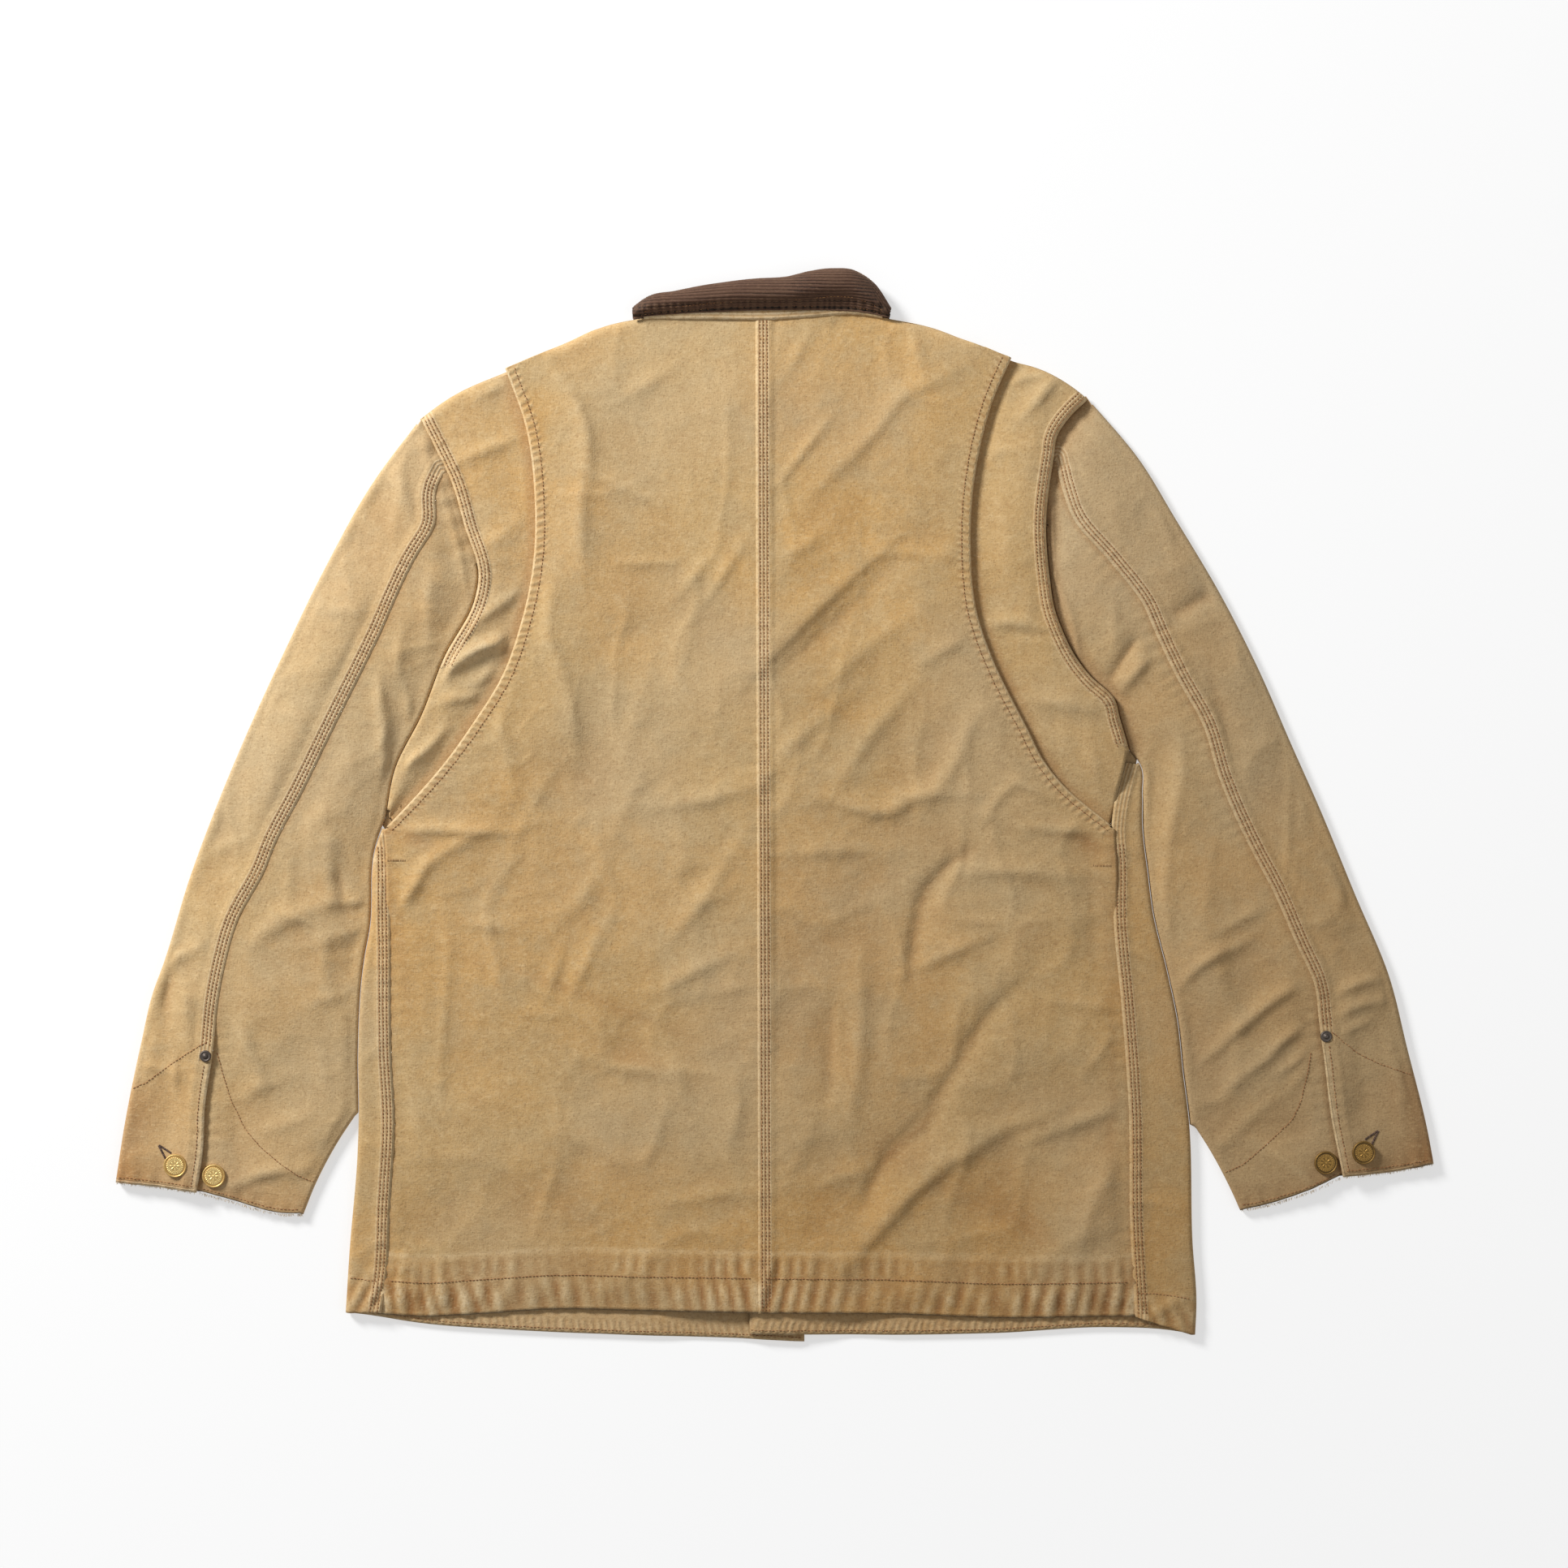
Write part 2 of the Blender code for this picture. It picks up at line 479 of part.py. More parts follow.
def front_points(side):
    """A front: its sheet on the floor, then the side's fold and the strip on top, below the arm."""
    inward = INWARD[side]
    outline = np.concatenate([armhole_line(side), side_line(side)])
    rows = len(outline)
    v = np.linspace(0, 1, rows)
    folded = np.arange(rows) > ARM_ROWS
    full_radius = (SIDE_LEVEL - FLOOR_LEVEL) / 2
    below_arm = ARMHOLE[side][-1][0] - outline[:, 1]
    radius = SIDE_START_RADIUS + (full_radius - SIDE_START_RADIUS) * ease((below_arm - 10.0) / 40.0)
    inset = np.where(folded, radius + WALL / 2, SLEEVE_GAP / 2)
    far = moved(outline, inward * inset)
    edge_x = LEFT_FRONT_EDGE_X if side == "left" else RIGHT_FRONT_EDGE_X
    line = front_top(side)
    even = np.linspace(0, 1, len(line))
    hem = across(FRONT_HEM[side], edge_x + (far[-1, 0] - edge_x) * even)
    near = np.linspace(line[0], hem[0], rows)
    steps = np.array(CLOSING_STEPS[side]) / abs(far[-1, 0] - edge_x)
    u = np.concatenate([steps, even[CLOSING_SKIP[side]:]])
    sheet = patch(near, far, picked(line, u), picked(hem, u), u, v)
    x = sheet[..., 0]
    over_buttons = ease(1 - (np.abs(x - CLOSING_X) - PLACKET_HALF) / PLACKET_RAMP)
    height = FLOOR_LEVEL + (CLOSING_BUTTON_HEIGHT + SEAM_GAP) * over_buttons
    if side == "right":
        lap = ease((LEFT_FRONT_EDGE_X + CLOSING_RAMP + 3.0 - x) / CLOSING_RAMP)
        height += (RIGHT_FRONT_LEVEL - FLOOR_LEVEL) * lap
    high = FLOOR_LEVEL + 2 * radius
    turn = half_turn(outline, inward, high, FLOOR_LEVEL, FOLD_CELLS)[:, ::-1]
    seam = down(UPPER_SEAM[side] + SIDE_SEAM[side], np.maximum(outline[:, 1], SIDE_SEAM[side][-1][0]))
    seam = moved(seam, -inward * SEAM_GAP / 2)
    start = moved(outline, inward * (radius + WALL / 2))
    strip = [raised(start + (seam - start) * k / STRIP_COLUMNS, high) for k in range(STRIP_COLUMNS + 1)]
    points = np.concatenate([raised(sheet, height), turn, np.stack(strip, axis=1)], axis=1)
    kept = np.ones(points.shape[:2], dtype=bool)
    kept[:, len(u):] = folded[:, None]
    return points, kept


def sleeve_points(side, part):
    """Half a sleeve: a sheet from the back seam to its fold, a half turn, and a sheet on the floor."""
    inward = INWARD[side]
    seam_rows, shoulder = SLEEVE_SEAM[side], ARMHOLE[side][0][0]
    armpit_rows = armhole_line(side)[SHARED_ARM_ROWS:]
    parting = SLEEVE_INNER[side][0][0]
    beside = side_line(side)[side_levels(side) > parting - 1.0]
    wrist = down(SLEEVE_INNER[side], np.linspace(parting, SLEEVE_INNER[side][-1][0], WRIST_ROWS + 1))[1:]
    inner = np.concatenate([armpit_rows, beside, wrist])
    rows = len(inner)
    seam = down(seam_rows, np.linspace(seam_rows[0][0], seam_rows[-1][0], rows))
    outer_rows = SLEEVE_OUTER[side]
    outer = down(outer_rows, np.linspace(outer_rows[0][0] - SLEEVE_START, outer_rows[-1][0], rows))
    if part == "top":
        toward, edge, level, cuff_rows = inward, outer, SLEEVE_OUTER_LEVEL, CUFF[side]
        arm_levels = np.linspace(shoulder, seam_rows[0][0], SLEEVE_COLUMNS + 1)
        arm_end = moved(on_armhole(side, arm_levels), -inward * ARM_END_GAP)[::-1]
    else:
        toward, edge, level, cuff_rows = -inward, inner, SLEEVE_INNER_LEVEL, UNDER_CUFF[side]
        edge = moved(inner, toward * SLEEVE_GAP)
        arm_levels = np.linspace(seam_rows[0][0], armpit_rows[0, 1], SLEEVE_COLUMNS + 1)
        arm_end = moved(on_armhole(side, arm_levels), -inward * ARM_END_GAP)
    past_rivet = RIVETS[side][1] - seam[:, 1]
    lap = SLIT_LAP * ease((past_rivet - 5.0) / 25.0) if part == "under" else 0.0
    near = moved(seam, toward * (lap - SEAM_GAP / 2))
    near_floor = moved(seam, -toward * SEAM_GAP / 2)
    at_arm = ease(distance(edge, armhole_line(side)) / 30.0) if part == "top" else 1.0
    high = SLEEVE_INNER_LEVEL + (level - SLEEVE_INNER_LEVEL) * at_arm
    high = np.broadcast_to(high, rows)
    far = moved(edge, toward * ((high - FLOOR_LEVEL) / 2 + WALL / 2))
    v = np.linspace(0, 1, rows)
    u = np.linspace(0, 1, SLEEVE_COLUMNS + 1)
    cuff = across(cuff_rows, np.linspace(near[-1, 0], far[-1, 0], SLEEVE_COLUMNS + 1))
    sheet = patch(near, far, arm_end, cuff, u, v)
    to_seam, to_edge = distance(sheet, seam), distance(sheet, far)
    height = SLEEVE_SEAM_LEVEL + (level - SLEEVE_SEAM_LEVEL) * ease(to_seam / (to_seam + to_edge + 1e-6))
    height += SLEEVE_PUFF * ease((to_seam - 15.0) / 25.0) * ease(to_edge / 22.0)
    height += folds(sheet, SLEEVE_FOLDS[side]) * ease((to_seam - 14.0) / 20.0) * ease(to_edge / 14.0)
    from_arm = ease(distance(sheet, armhole_line(side)[:SHARED_ARM_ROWS + 1]) / 30.0)
    height = SLEEVE_INNER_LEVEL + (height - SLEEVE_INNER_LEVEL) * from_arm
    if part == "top":
        below = ease((RIVETS[side][1] + 30.0 - sheet[..., 1]) / 30.0)
        height += SLIT_RISE * below * ease((30.0 - to_seam) / 18.0)
    height[:, -1] = high
    turn = half_turn(edge, toward, high, FLOOR_LEVEL, FOLD_CELLS)
    w = np.linspace(0, 1, SLEEVE_FLOOR_COLUMNS + 1)
    floor = patch(near_floor, far, picked(arm_end, w), picked(cuff, w), w, v)[:, ::-1]
    return np.concatenate([raised(sheet, height), turn, raised(floor, FLOOR_LEVEL)], axis=1)


def neckline(x):
    """Highest edge of the fronts at places x, along their neckline and shoulders."""
    edges = []
    for side in ("left", "right"):
        columns = len(CLOSING_STEPS[side]) - CLOSING_SKIP[side] + len(front_top(side))
        row = front_points(side)[0][0, :columns]
        row = row[np.argsort(row[:, 0])]
        edges.append(np.interp(x, row[:, 0], row[:, 1]))
    return np.maximum(*edges) + NECKLINE_GAP


def collar_sections(x):
    """Lower edge, middle of the roll, its half depth and its height, at places x of the collar."""
    low = through([(row[0], row[1]) for row in COLLAR], x)
    top = through([(row[0], row[2]) for row in COLLAR], x)
    height = through([(row[0], row[3]) for row in COLLAR], x)
    depth = np.minimum(0.45 * (top - low), 12.0)
    return low, top - WALL / 2 - depth, depth, height - WALL / 2


def collar_points():
    """The collar: its fall over the stand, the roll at the neck's edge, and a return on the floor."""
    x = np.linspace(COLLAR[0][0], COLLAR[-1][0], COLLAR_COLUMNS + 1)
    low, middle, depth, peak = collar_sections(x)
    lines = []
    for t in np.linspace(0, 1, FALL_CELLS + 1)[:-1]:
        lines.append((low + (middle - low) * t, FALL_LEVEL + (peak - FALL_LEVEL) * ease(t)))
    for angle in np.linspace(0, math.pi, ROLL_CELLS + 1):
        half = (peak - FLOOR_LEVEL) / 2
        lines.append((middle + depth * math.sin(angle), FLOOR_LEVEL + half * (1 + math.cos(angle))))
    lines.append((np.maximum(middle - COLLAR_RETURN, neckline(x)), np.full(len(x), FLOOR_LEVEL)))
    return np.stack([np.stack([x, y, z], axis=-1) for y, z in lines], axis=0)


def stand_points():
    """The collar's stand: a flat sheet from the neck seam to inside the roll."""
    x = np.linspace(COLLAR[1][0] - 2.0, COLLAR[-2][0] + 6.0, COLLAR_COLUMNS + 1)
    middle, depth = collar_sections(x)[1:3]
    rows = sorted(set(BACK_TOP["left"]) | set(BACK_TOP["right"]))
    start = across(rows, x) + np.array([0.0, SEAM_GAP])
    end = np.stack([x, middle + 0.3 * depth], axis=-1)
    return raised(np.stack([start, (start + end) / 2, end], axis=0), STAND_LEVEL)


def collar_front_points(side, returned):
    """A front half of the collar, flat on the floor from the neckline to the collar's own return."""
    if side == "left":
        x = np.linspace(COLLAR[1][0] + 8.0, CLOSING_X - SEAM_GAP, 13)
    else:
        x = np.linspace(CLOSING_X + SEAM_GAP, COLLAR[-2][0], 13)
    start = np.stack([x, neckline(x)], axis=-1)
    inner = np.stack([x, np.interp(x, returned[:, 0], returned[:, 1]) - NECKLINE_GAP], axis=-1)
    rows = np.linspace(0, 1, 4)[:, None, None]
    return raised(start * (1 - rows) + inner * rows, FLOOR_LEVEL)


# The solids.

def finished(name, mesh, colour):
    """Put an object with its own material in the coat's collection."""
    item = bpy.data.objects.new(name, mesh)
    shown, roughness, metallic = COLOURS[colour]
    material = bpy.data.materials.new(name)
    material.use_nodes = True
    shader = material.node_tree.nodes["Principled BSDF"]
    shader.inputs["Base Color"].default_value = shown
    shader.inputs["Roughness"].default_value = roughness
    shader.inputs["Metallic"].default_value = metallic
    mesh.materials.append(material)
    coat.objects.link(item)
    return item


def cloth(name, points, kept=None, colour="canvas"):
    """A wall of cloth round a grid of points; cells with a point that isn't kept are left out."""
    rows, columns = points.shape[:2]
    grid = bmesh.new()
    bmesh.ops.create_grid(grid, x_segments=columns - 1, y_segments=rows - 1, size=1.0)
    left_out = []
    for vertex in grid.verts:
        column = round((vertex.co.x + 1) / 2 * (columns - 1))
        row = round((1 - vertex.co.y) / 2 * (rows - 1))
        vertex.co = points[row, column] * MM
        if kept is not None and not kept[row, column]:
            left_out.append(vertex)
    bmesh.ops.delete(grid, geom=left_out, context="VERTS")
    mesh = bpy.data.meshes.new(name)
    grid.to_mesh(mesh)
    grid.free()
    item = finished(name, mesh, colour)
    wall = item.modifiers.new("wall", "SOLIDIFY")
    wall.thickness = WALL * MM
    wall.offset = 0.0
    wall.use_even_offset = True
    return item


def turned(name, x, y, z, radius, height, colour):
    """A low domed disc, such as a button or a rivet, turned round its own axis."""
    profile = ((0.0, 1.0), (0.6, 0.96), (0.88, 0.78), (1.0, 0.45), (0.94, 0.0), (0.0, 0.0))
    grid = bmesh.new()
    corners = [grid.verts.new((part * radius * MM, 0.0, level * height * MM)) for part, level in profile]
    for a, b in zip(corners[:-1], corners[1:]):
        grid.edges.new((a, b))
    mesh = bpy.data.meshes.new(name)
    grid.to_mesh(mesh)
    grid.free()
    item = finished(name, mesh, colour)
    item.location = (x * MM, y * MM, z * MM)
    screw = item.modifiers.new("turn", "SCREW")
    screw.steps = TURNED_STEPS
    screw.render_steps = TURNED_STEPS
    screw.use_merge_vertices = True
    screw.merge_threshold = 0.00001
    screw.use_smooth_shade = True
    return item


def level_under(points, x, y, radius):
    """Highest level of a sheet of points under a round piece."""
    down_rows = picked(points, np.linspace(0, 1, 12 * len(points)))
    fine = picked(down_rows.swapaxes(0, 1), np.linspace(0, 1, 12 * points.shape[1]))
    under = np.hypot(fine[..., 0] - x, fine[..., 1] - y) < radius
    return fine[under][:, 2].max()


for item in list(bpy.data.objects):
    bpy.data.objects.remove(item, do_unlink=True)
coat = bpy.data.collections.new("work_coat")
bpy.context.scene.collection.children.link(coat)

collar = collar_points()
for side in ("left", "right"):
    cloth("front_" + side, *front_points(side))
    cloth("side_back_" + side, *gusset_points(side))
    cloth("back_" + side, *back_points(side))
    top_sleeve = sleeve_points(side, "top")
    under_sleeve = sleeve_points(side, "under")
    cloth("top_sleeve_" + side, top_sleeve)
    cloth("under_sleeve_" + side, under_sleeve)
    cloth("collar_front_" + side, collar_front_points(side, collar[-1]), colour="corduroy")
    for place, sheet in (("outer", top_sleeve), ("inner", under_sleeve)):
        x, y = CUFF_BUTTONS[side][place]
        z = level_under(sheet[:, :SLEEVE_COLUMNS + 1], x, y, BUTTON_RADIUS) + WALL / 2 + SEAM_GAP
        turned("cuff_button_" + side + "_" + place, x, y, z, BUTTON_RADIUS, BUTTON_HEIGHT, "brass")
    x, y = RIVETS[side]
    z = level_under(top_sleeve[:, :SLEEVE_COLUMNS + 1], x, y, RIVET_RADIUS) + WALL / 2 + SEAM_GAP
    turned("rivet_" + side, x, y, z, RIVET_RADIUS, RIVET_HEIGHT, "dark_metal")

cloth("collar", collar, colour="corduroy")
cloth("collar_stand", stand_points())
for k, y in enumerate(CLOSING_BUTTONS_Y):
    turned("closing_button_" + str(k + 1), CLOSING_X, y, 0.0, BUTTON_RADIUS, CLOSING_BUTTON_HEIGHT, "brass")
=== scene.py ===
"""Worn tan duck-canvas work coat, laid flat face down: its looks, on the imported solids.

Lengths are in millimetres, from the middle of the coat: x to the viewer's right, y up the back.
"""
import math

import bpy
import numpy as np
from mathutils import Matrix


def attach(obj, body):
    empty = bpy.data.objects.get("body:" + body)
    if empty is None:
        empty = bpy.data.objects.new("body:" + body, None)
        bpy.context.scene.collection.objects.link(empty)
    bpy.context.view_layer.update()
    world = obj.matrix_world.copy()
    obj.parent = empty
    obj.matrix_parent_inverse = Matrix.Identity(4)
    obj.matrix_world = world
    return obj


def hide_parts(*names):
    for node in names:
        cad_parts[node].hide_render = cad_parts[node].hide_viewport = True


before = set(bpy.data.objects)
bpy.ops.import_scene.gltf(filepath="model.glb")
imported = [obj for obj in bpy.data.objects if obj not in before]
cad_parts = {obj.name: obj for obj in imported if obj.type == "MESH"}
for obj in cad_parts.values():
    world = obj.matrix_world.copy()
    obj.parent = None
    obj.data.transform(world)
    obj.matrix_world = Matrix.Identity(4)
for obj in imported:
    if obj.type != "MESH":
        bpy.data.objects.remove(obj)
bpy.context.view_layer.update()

# The backs.
# The two halves of the back, in duck canvas. The right one laps over the left at the centre seam, and
# each is turned under at its outer edge as a pleat, and sewn under the front's side strip below it.
MM = 0.001
CLOTH = 1.8
BACK_LEVEL, CENTRE_LEVEL, PLEAT_LEVEL, SIDE_LEVEL = 5.6, 8.7, 8.4, 6.4
SECOND_LEVEL, FLOOR_LEVEL = 3.4, 1.0
SHOULDER_LEVEL, UNDERLAP = 2.6, 2.4
PLEAT_FOLD_RADIUS, PLEAT_RETURN, PLEAT_LENGTH = 1.25, 20.0, 360.0
FOLD_GAIN, LOWEST_BACK = 1.22, 3.1
INWARD = {"left": 1.0, "right": -1.0}
CENTRE_SEAM = ((-14.3, 371), (-12.2, -386.5))
# Lines that run down the coat are rows of (y, x), and lines across it are rows of (x, y).
PLEAT_EDGE = {
    "left": ((333.5, -205.5), (291, -190.5), (232.5, -183), (183, -184.5), (141.5, -193), (95, -210),
        (64, -229.5), (32, -252.5), (5.5, -275.5), (-16, -296)),
    "right": ((341.5, 180.5), (309, 166.5), (274.5, 157), (200.5, 149.5), (143, 155.5), (115.5, 165),
        (58.5, 193), (33.5, 206), (15.5, 220.5), (-15, 257)),
}
SIDE_SEAM = {
    "left": ((-9.5, -297), (-16, -296), (-91, -293.5), (-190.5, -292.5), (-239.5, -290), (-305.5, -293.5),
        (-357.5, -296), (-388, -300.5)),
    "right": ((42, 270), (18.5, 263), (1, 259), (-15, 257), (-46, 258.5), (-85, 258.5), (-147, 264),
        (-230, 270), (-317, 271), (-389.5, 275)),
}
BACK_TOP = {
    "left": ((-205.5, 333.5), (-188, 341), (-158, 353.5), (-134, 364.5), (-109.5, 370.5), (-65, 371.5),
        (-13.5, 371)),
    "right": ((180.5, 341.5), (151, 353), (122.5, 364), (89.5, 371), (60, 375), (28, 373), (-12, 371)),
}
BACK_HEM = {
    "left": ((-300.5, -388), (-272.5, -390), (-225.5, -388), (-172.5, -384.5), (-96, -385.5), (-13, -386.5)),
    "right": ((275, -389.5), (216, -390.5), (184.5, -391), (94, -388), (-12, -386.5)),
}
# Folds: from x, y to x, y, the widths of the left and right slopes, the rise and how far it bows.
BACK_FOLDS = (
    (70, -302, 114, -244, 8, 12, -2.6, 8), (112, -243, 150, -180, 8, 12, -2.4, 0),
    (150, -180, 190, -136, 9, 12, -2.2, 4), (64, -340, 108, -292, 22, 8, 3, 0),
    (108, -292, 150, -262, 22, 10, 2.8, 2), (150, -262, 207, -235, 14, 9, 2, 3),
    (203, -252, 264, -230, 12, 7, 2.4, 0), (232, -338, 253, -284, 13, 13, 2.6, 3),
    (104, -126, 113, -70, 6, 14, -2.8, 2), (113, -70, 144, -38, 6, 12, -2.8, 4),
    (148, -50, 216, -53, 12, 8, 2.6, 2), (112, -122, 157, -102, 10, 7, 2.2, 0),
    (18, -37, 72, -35, 12, 7, 2, 2), (64, -124, 58, -232, 11, 12, 2.6, 4),
    (44, -150, 40, -226, 9, 8, -1.2, 0), (86, -172, 110, -212, 9, 10, 1.1, 0),
    (220, -150, 252, -152, 9, 5, 1.4, 0), (238, -202, 262, -168, 5, 5, 1.2, 0),
    (34, -288, 72, -276, 12, 9, 1.6, 0), (202, -17, 245, -20, 10, 6, 2.6, 0),
    (240, -48, 257, -58, 5, 4, 1.6, 0), (-291, -17, -212, -20, 6, 5, 3.2, 0),
    (-294, -84, -266, -46, 6, 6, 2.8, -2), (-266, -46, -222, -20, 7, 7, 1.9, 2),
    (-240, -88, -200, -94, 9, 6, 1.3, 0), (-162, -86, -136, -52, 12, 11, 1.9, -3),
    (-172, -140, -163, -112, 8, 6, 1.8, 0), (-152, -138, -139, -110, 8, 6, 2, 0),
    (-70, -90, -34, -36, 11, 9, 2.3, -3), (-84, -140, -42, -118, 11, 8, 2.3, 2),
    (-195, -130, -130, -176, 5, 5, 1.2, 2), (-82, -184, -68, -236, 12, 13, 1.8, 3),
    (-126, -196, -84, -205, 12, 9, 1.6, 0), (-150, -238, -124, -268, 9, 10, 1.2, 0),
    (-196, -258, -170, -288, 5, 6, 1.1, 0), (-64, -300, -20, -296, 12, 8, 2, 2),
    (-298, -347, -274, -353, 7, 6, 1.6, 0), (-262, -268, -206, -276, 12, 10, 1.1, 3),
    (-180, -300, -160, -328, 10, 9, 1, 2), (-160, 322, -143, 284, 7, 12, 2.2, 2),
    (-143, 284, -141, 256, 7, 11, 1.6, 0), (-146, 250, -146, 186, 11, 14, 2.7, -2),
    (-138, 252, -90, 230, 8, 5, 1.4, 0), (-116, 185, -81, 186, 5, 5, 1.4, 0),
    (-178, 188, -172, 140, 12, 7, 2.1, 0), (-176, 138, -162, 104, 6, 12, 1.6, 0),
    (-162, 104, -152, 38, 8, 14, 2.1, 2), (-212, 66, -200, 12, 9, 10, 1.7, 2),
    (-84, 0, -22, 14, 12, 8, 2, -2), (-70, 165, -52, 186, 8, 7, 1.5, 0),
    (-48, 162, -27, 196, 8, 7, 1.8, 0), (-113, 312, -84, 330, 9, 8, 1.3, 0),
    (-72, 105, -60, 150, 10, 9, 1.1, 0), (-190, -10, -172, 22, 9, 8, 1.3, 0),
    (-112, 40, -98, 92, 10, 12, 1, 2), (-122, -20, -104, 20, 9, 9, 1, 0),
    (-4, 112, 78, 191, 20, 6, 2.6, 2), (6, 103, 86, 178, 6, 16, -1.3, 0),
    (78, 191, 110, 191, 9, 6, 1.4, 2), (5, 248, 38, 290, 8, 5, 1.5, 0), (40, 250, 97, 312, 14, 8, 1.9, -3),
    (104, 366, 112, 332, 9, 8, 1.7, 0), (98, 312, 134, 330, 9, 8, 1.3, 0),
    (42, 95, 101, 142, 16, 11, 1.9, 3), (0, 30, 44, 74, 14, 10, 2, 2), (54, 24, 98, 82, 13, 10, 2.1, 3),
    (121, 9, 146, 55, 12, 9, 2.8, -3), (46, 4, 82, -5, 12, 6, 2.6, -2), (82, -5, 104, 5, 10, 6, 2.6, -2),
    (104, 5, 140, 8, 12, 6, 2.1, 2), (162, -9, 184, 17, 5, 5, 1.8, 3), (184, 18, 213, 6, 8, 6, 1.9, 0),
    (117, 112, 143, 127, 8, 6, 1.6, 0), (14, 192, 34, 206, 9, 7, 1.2, 0), (12, 335, 24, 356, 8, 7, 1.3, 0),
    (128, 190, 146, 196, 8, 6, 1.1, 0),
)
# Rust-brown streaks and smudges, in the same columns, with their depth of colour for the rise.
BACK_STAINS = (
    (-240, -114, -84, -170, 14, 10, 0.3, 3), (-124, -190, -82, -204, 26, 22, 0.34, 0),
    (-292, -368, -276, -376, 16, 14, 0.55, 0), (-286, -22, -262, -30, 18, 16, 0.5, 0),
    (-290, -60, -280, -150, 12, 12, 0.25, 0), (228, -22, 250, -34, 18, 16, 0.5, 0),
    (250, -60, 252, -330, 14, 10, 0.24, 6), (60, -260, 130, -290, 30, 26, 0.22, 6),
    (-120, 300, -70, 180, 30, 30, 0.1, 0), (150, -300, 230, -350, 30, 26, 0.22, 6),
    (-250, -260, -120, -330, 34, 34, 0.14, 6), (90, -20, 200, -60, 26, 26, 0.16, 6),
    (256, -372, 268, -384, 12, 12, 0.5, 0), (-40, -366, 20, -370, 14, 12, 0.22, 0),
)


def ease(t):
    t = np.clip(t, 0.0, 1.0)
    return t * t * (3 - 2 * t)


def bell(x, width):
    """1 where x is 0, and fading out on both sides over the width."""
    return np.exp(-(x / width) ** 2)


def through(rows, at):
    """Smooth values at `at` through a table's (place, value) rows."""
    table = np.array(sorted(rows))
    place, value = table[:, 0], table[:, 1]
    slope = np.gradient(value, place)
    at = np.clip(np.asarray(at, dtype=float), place[0], place[-1])
    k = np.clip(np.searchsorted(place, at) - 1, 0, len(place) - 2)
    width = place[k + 1] - place[k]
    t = (at - place[k]) / width
    start = value[k] * (1 + 2 * t) * (1 - t) ** 2 + width * slope[k] * t * (1 - t) ** 2
    return start + value[k + 1] * t ** 2 * (3 - 2 * t) - width * slope[k + 1] * t ** 2 * (1 - t)


def down(rows, start, end, count):
    """Points down the coat between two levels, from (y, x) rows."""
    y = np.linspace(start, end, count)
    return np.stack([through(rows, y), y], axis=-1)


def across(rows, start, end, count):
    """Points across the coat between two places, from (x, y) rows."""
    x = np.linspace(start, end, count)
    return np.stack([x, through(rows, x)], axis=-1)


def all_down(rows, count):
    return down(rows, rows[0][0], rows[-1][0], count)


def all_across(rows, count):
    return across(rows, rows[0][0], rows[-1][0], count)


def moved(line, distance):
    """A line moved to the left of its own direction."""
    step = np.gradient(line, axis=0)
    step /= np.linalg.norm(step, axis=1, keepdims=True)
    return line + np.stack([-step[:, 1], step[:, 0]], axis=-1) * np.reshape(distance, (-1, 1))


def picked(line, t):
    """Points at the fractions t of a line's points."""
    place = np.clip(t, 0, 1) * (len(line) - 1)
    k = np.clip(place.astype(int), 0, len(line) - 2)
    part = (place - k)[:, None]
    return line[k] * (1 - part) + line[k + 1] * part


def nearest(points, line):
    """Distance in plan from each point to a line, and how far along the line that is."""
    x, y = points[..., 0].ravel(), points[..., 1].ravel()
    best, along, passed = np.full(x.shape, np.inf), np.zeros(x.shape), 0.0
    for (ax, ay), (bx, by) in zip(line[:-1, :2], line[1:, :2]):
        run, length = (bx - ax, by - ay), math.hypot(bx - ax, by - ay) + 1e-9
        t = np.clip(((x - ax) * run[0] + (y - ay) * run[1]) / length ** 2, 0, 1)
        away = np.hypot(x - ax - t * run[0], y - ay - t * run[1])
        closer = away < best
        best[closer], along[closer] = away[closer], passed + t[closer] * length
        passed += length
    return best.reshape(points.shape[:-1]), along.reshape(points.shape[:-1])


def patch(near, far, top, bottom, u, v):
    """Plan points between four lines: near and far have a point a row, top and bottom one a column."""
    wide, tall = u[None, :, None], v[:, None, None]
    rails = near[:, None] * (1 - wide) + far[:, None] * wide
    ends = top[None] * (1 - tall) + bottom[None] * tall
    corners = ((top[0] * (1 - wide) + top[-1] * wide) * (1 - tall)
               + (bottom[0] * (1 - wide) + bottom[-1] * wide) * tall)
    return rails + ends - corners


def folds(points, table):
    """Heights of soft folds and of their crests: each bows, fades out at its ends and leans to one side."""
    height, crest = np.zeros(points.shape[:-1]), np.zeros(points.shape[:-1])
    for x0, y0, x1, y1, left, right, rise, bow in table:
        length = math.hypot(x1 - x0, y1 - y0)
        along = ((points[..., 0] - x0) * (x1 - x0) + (points[..., 1] - y0) * (y1 - y0)) / length
        beside = ((points[..., 1] - y0) * (x1 - x0) - (points[..., 0] - x0) * (y1 - y0)) / length
        t = np.clip(along / length, 0, 1)
        beside = beside - 4 * bow * t * (1 - t)
        past = np.maximum(np.maximum(-along, along - length), 0.0)
        fade = (0.55 + 0.45 * np.sin(math.pi * t)) * bell(past, 1.6 * left)
        width = np.where(beside > 0, left, right)
        height += FOLD_GAIN * rise * fade * np.exp(1 - np.sqrt(1 + (2.2 * beside / width) ** 2))
        crest += rise * fade * bell(beside, 0.4 * width)
    return height, crest


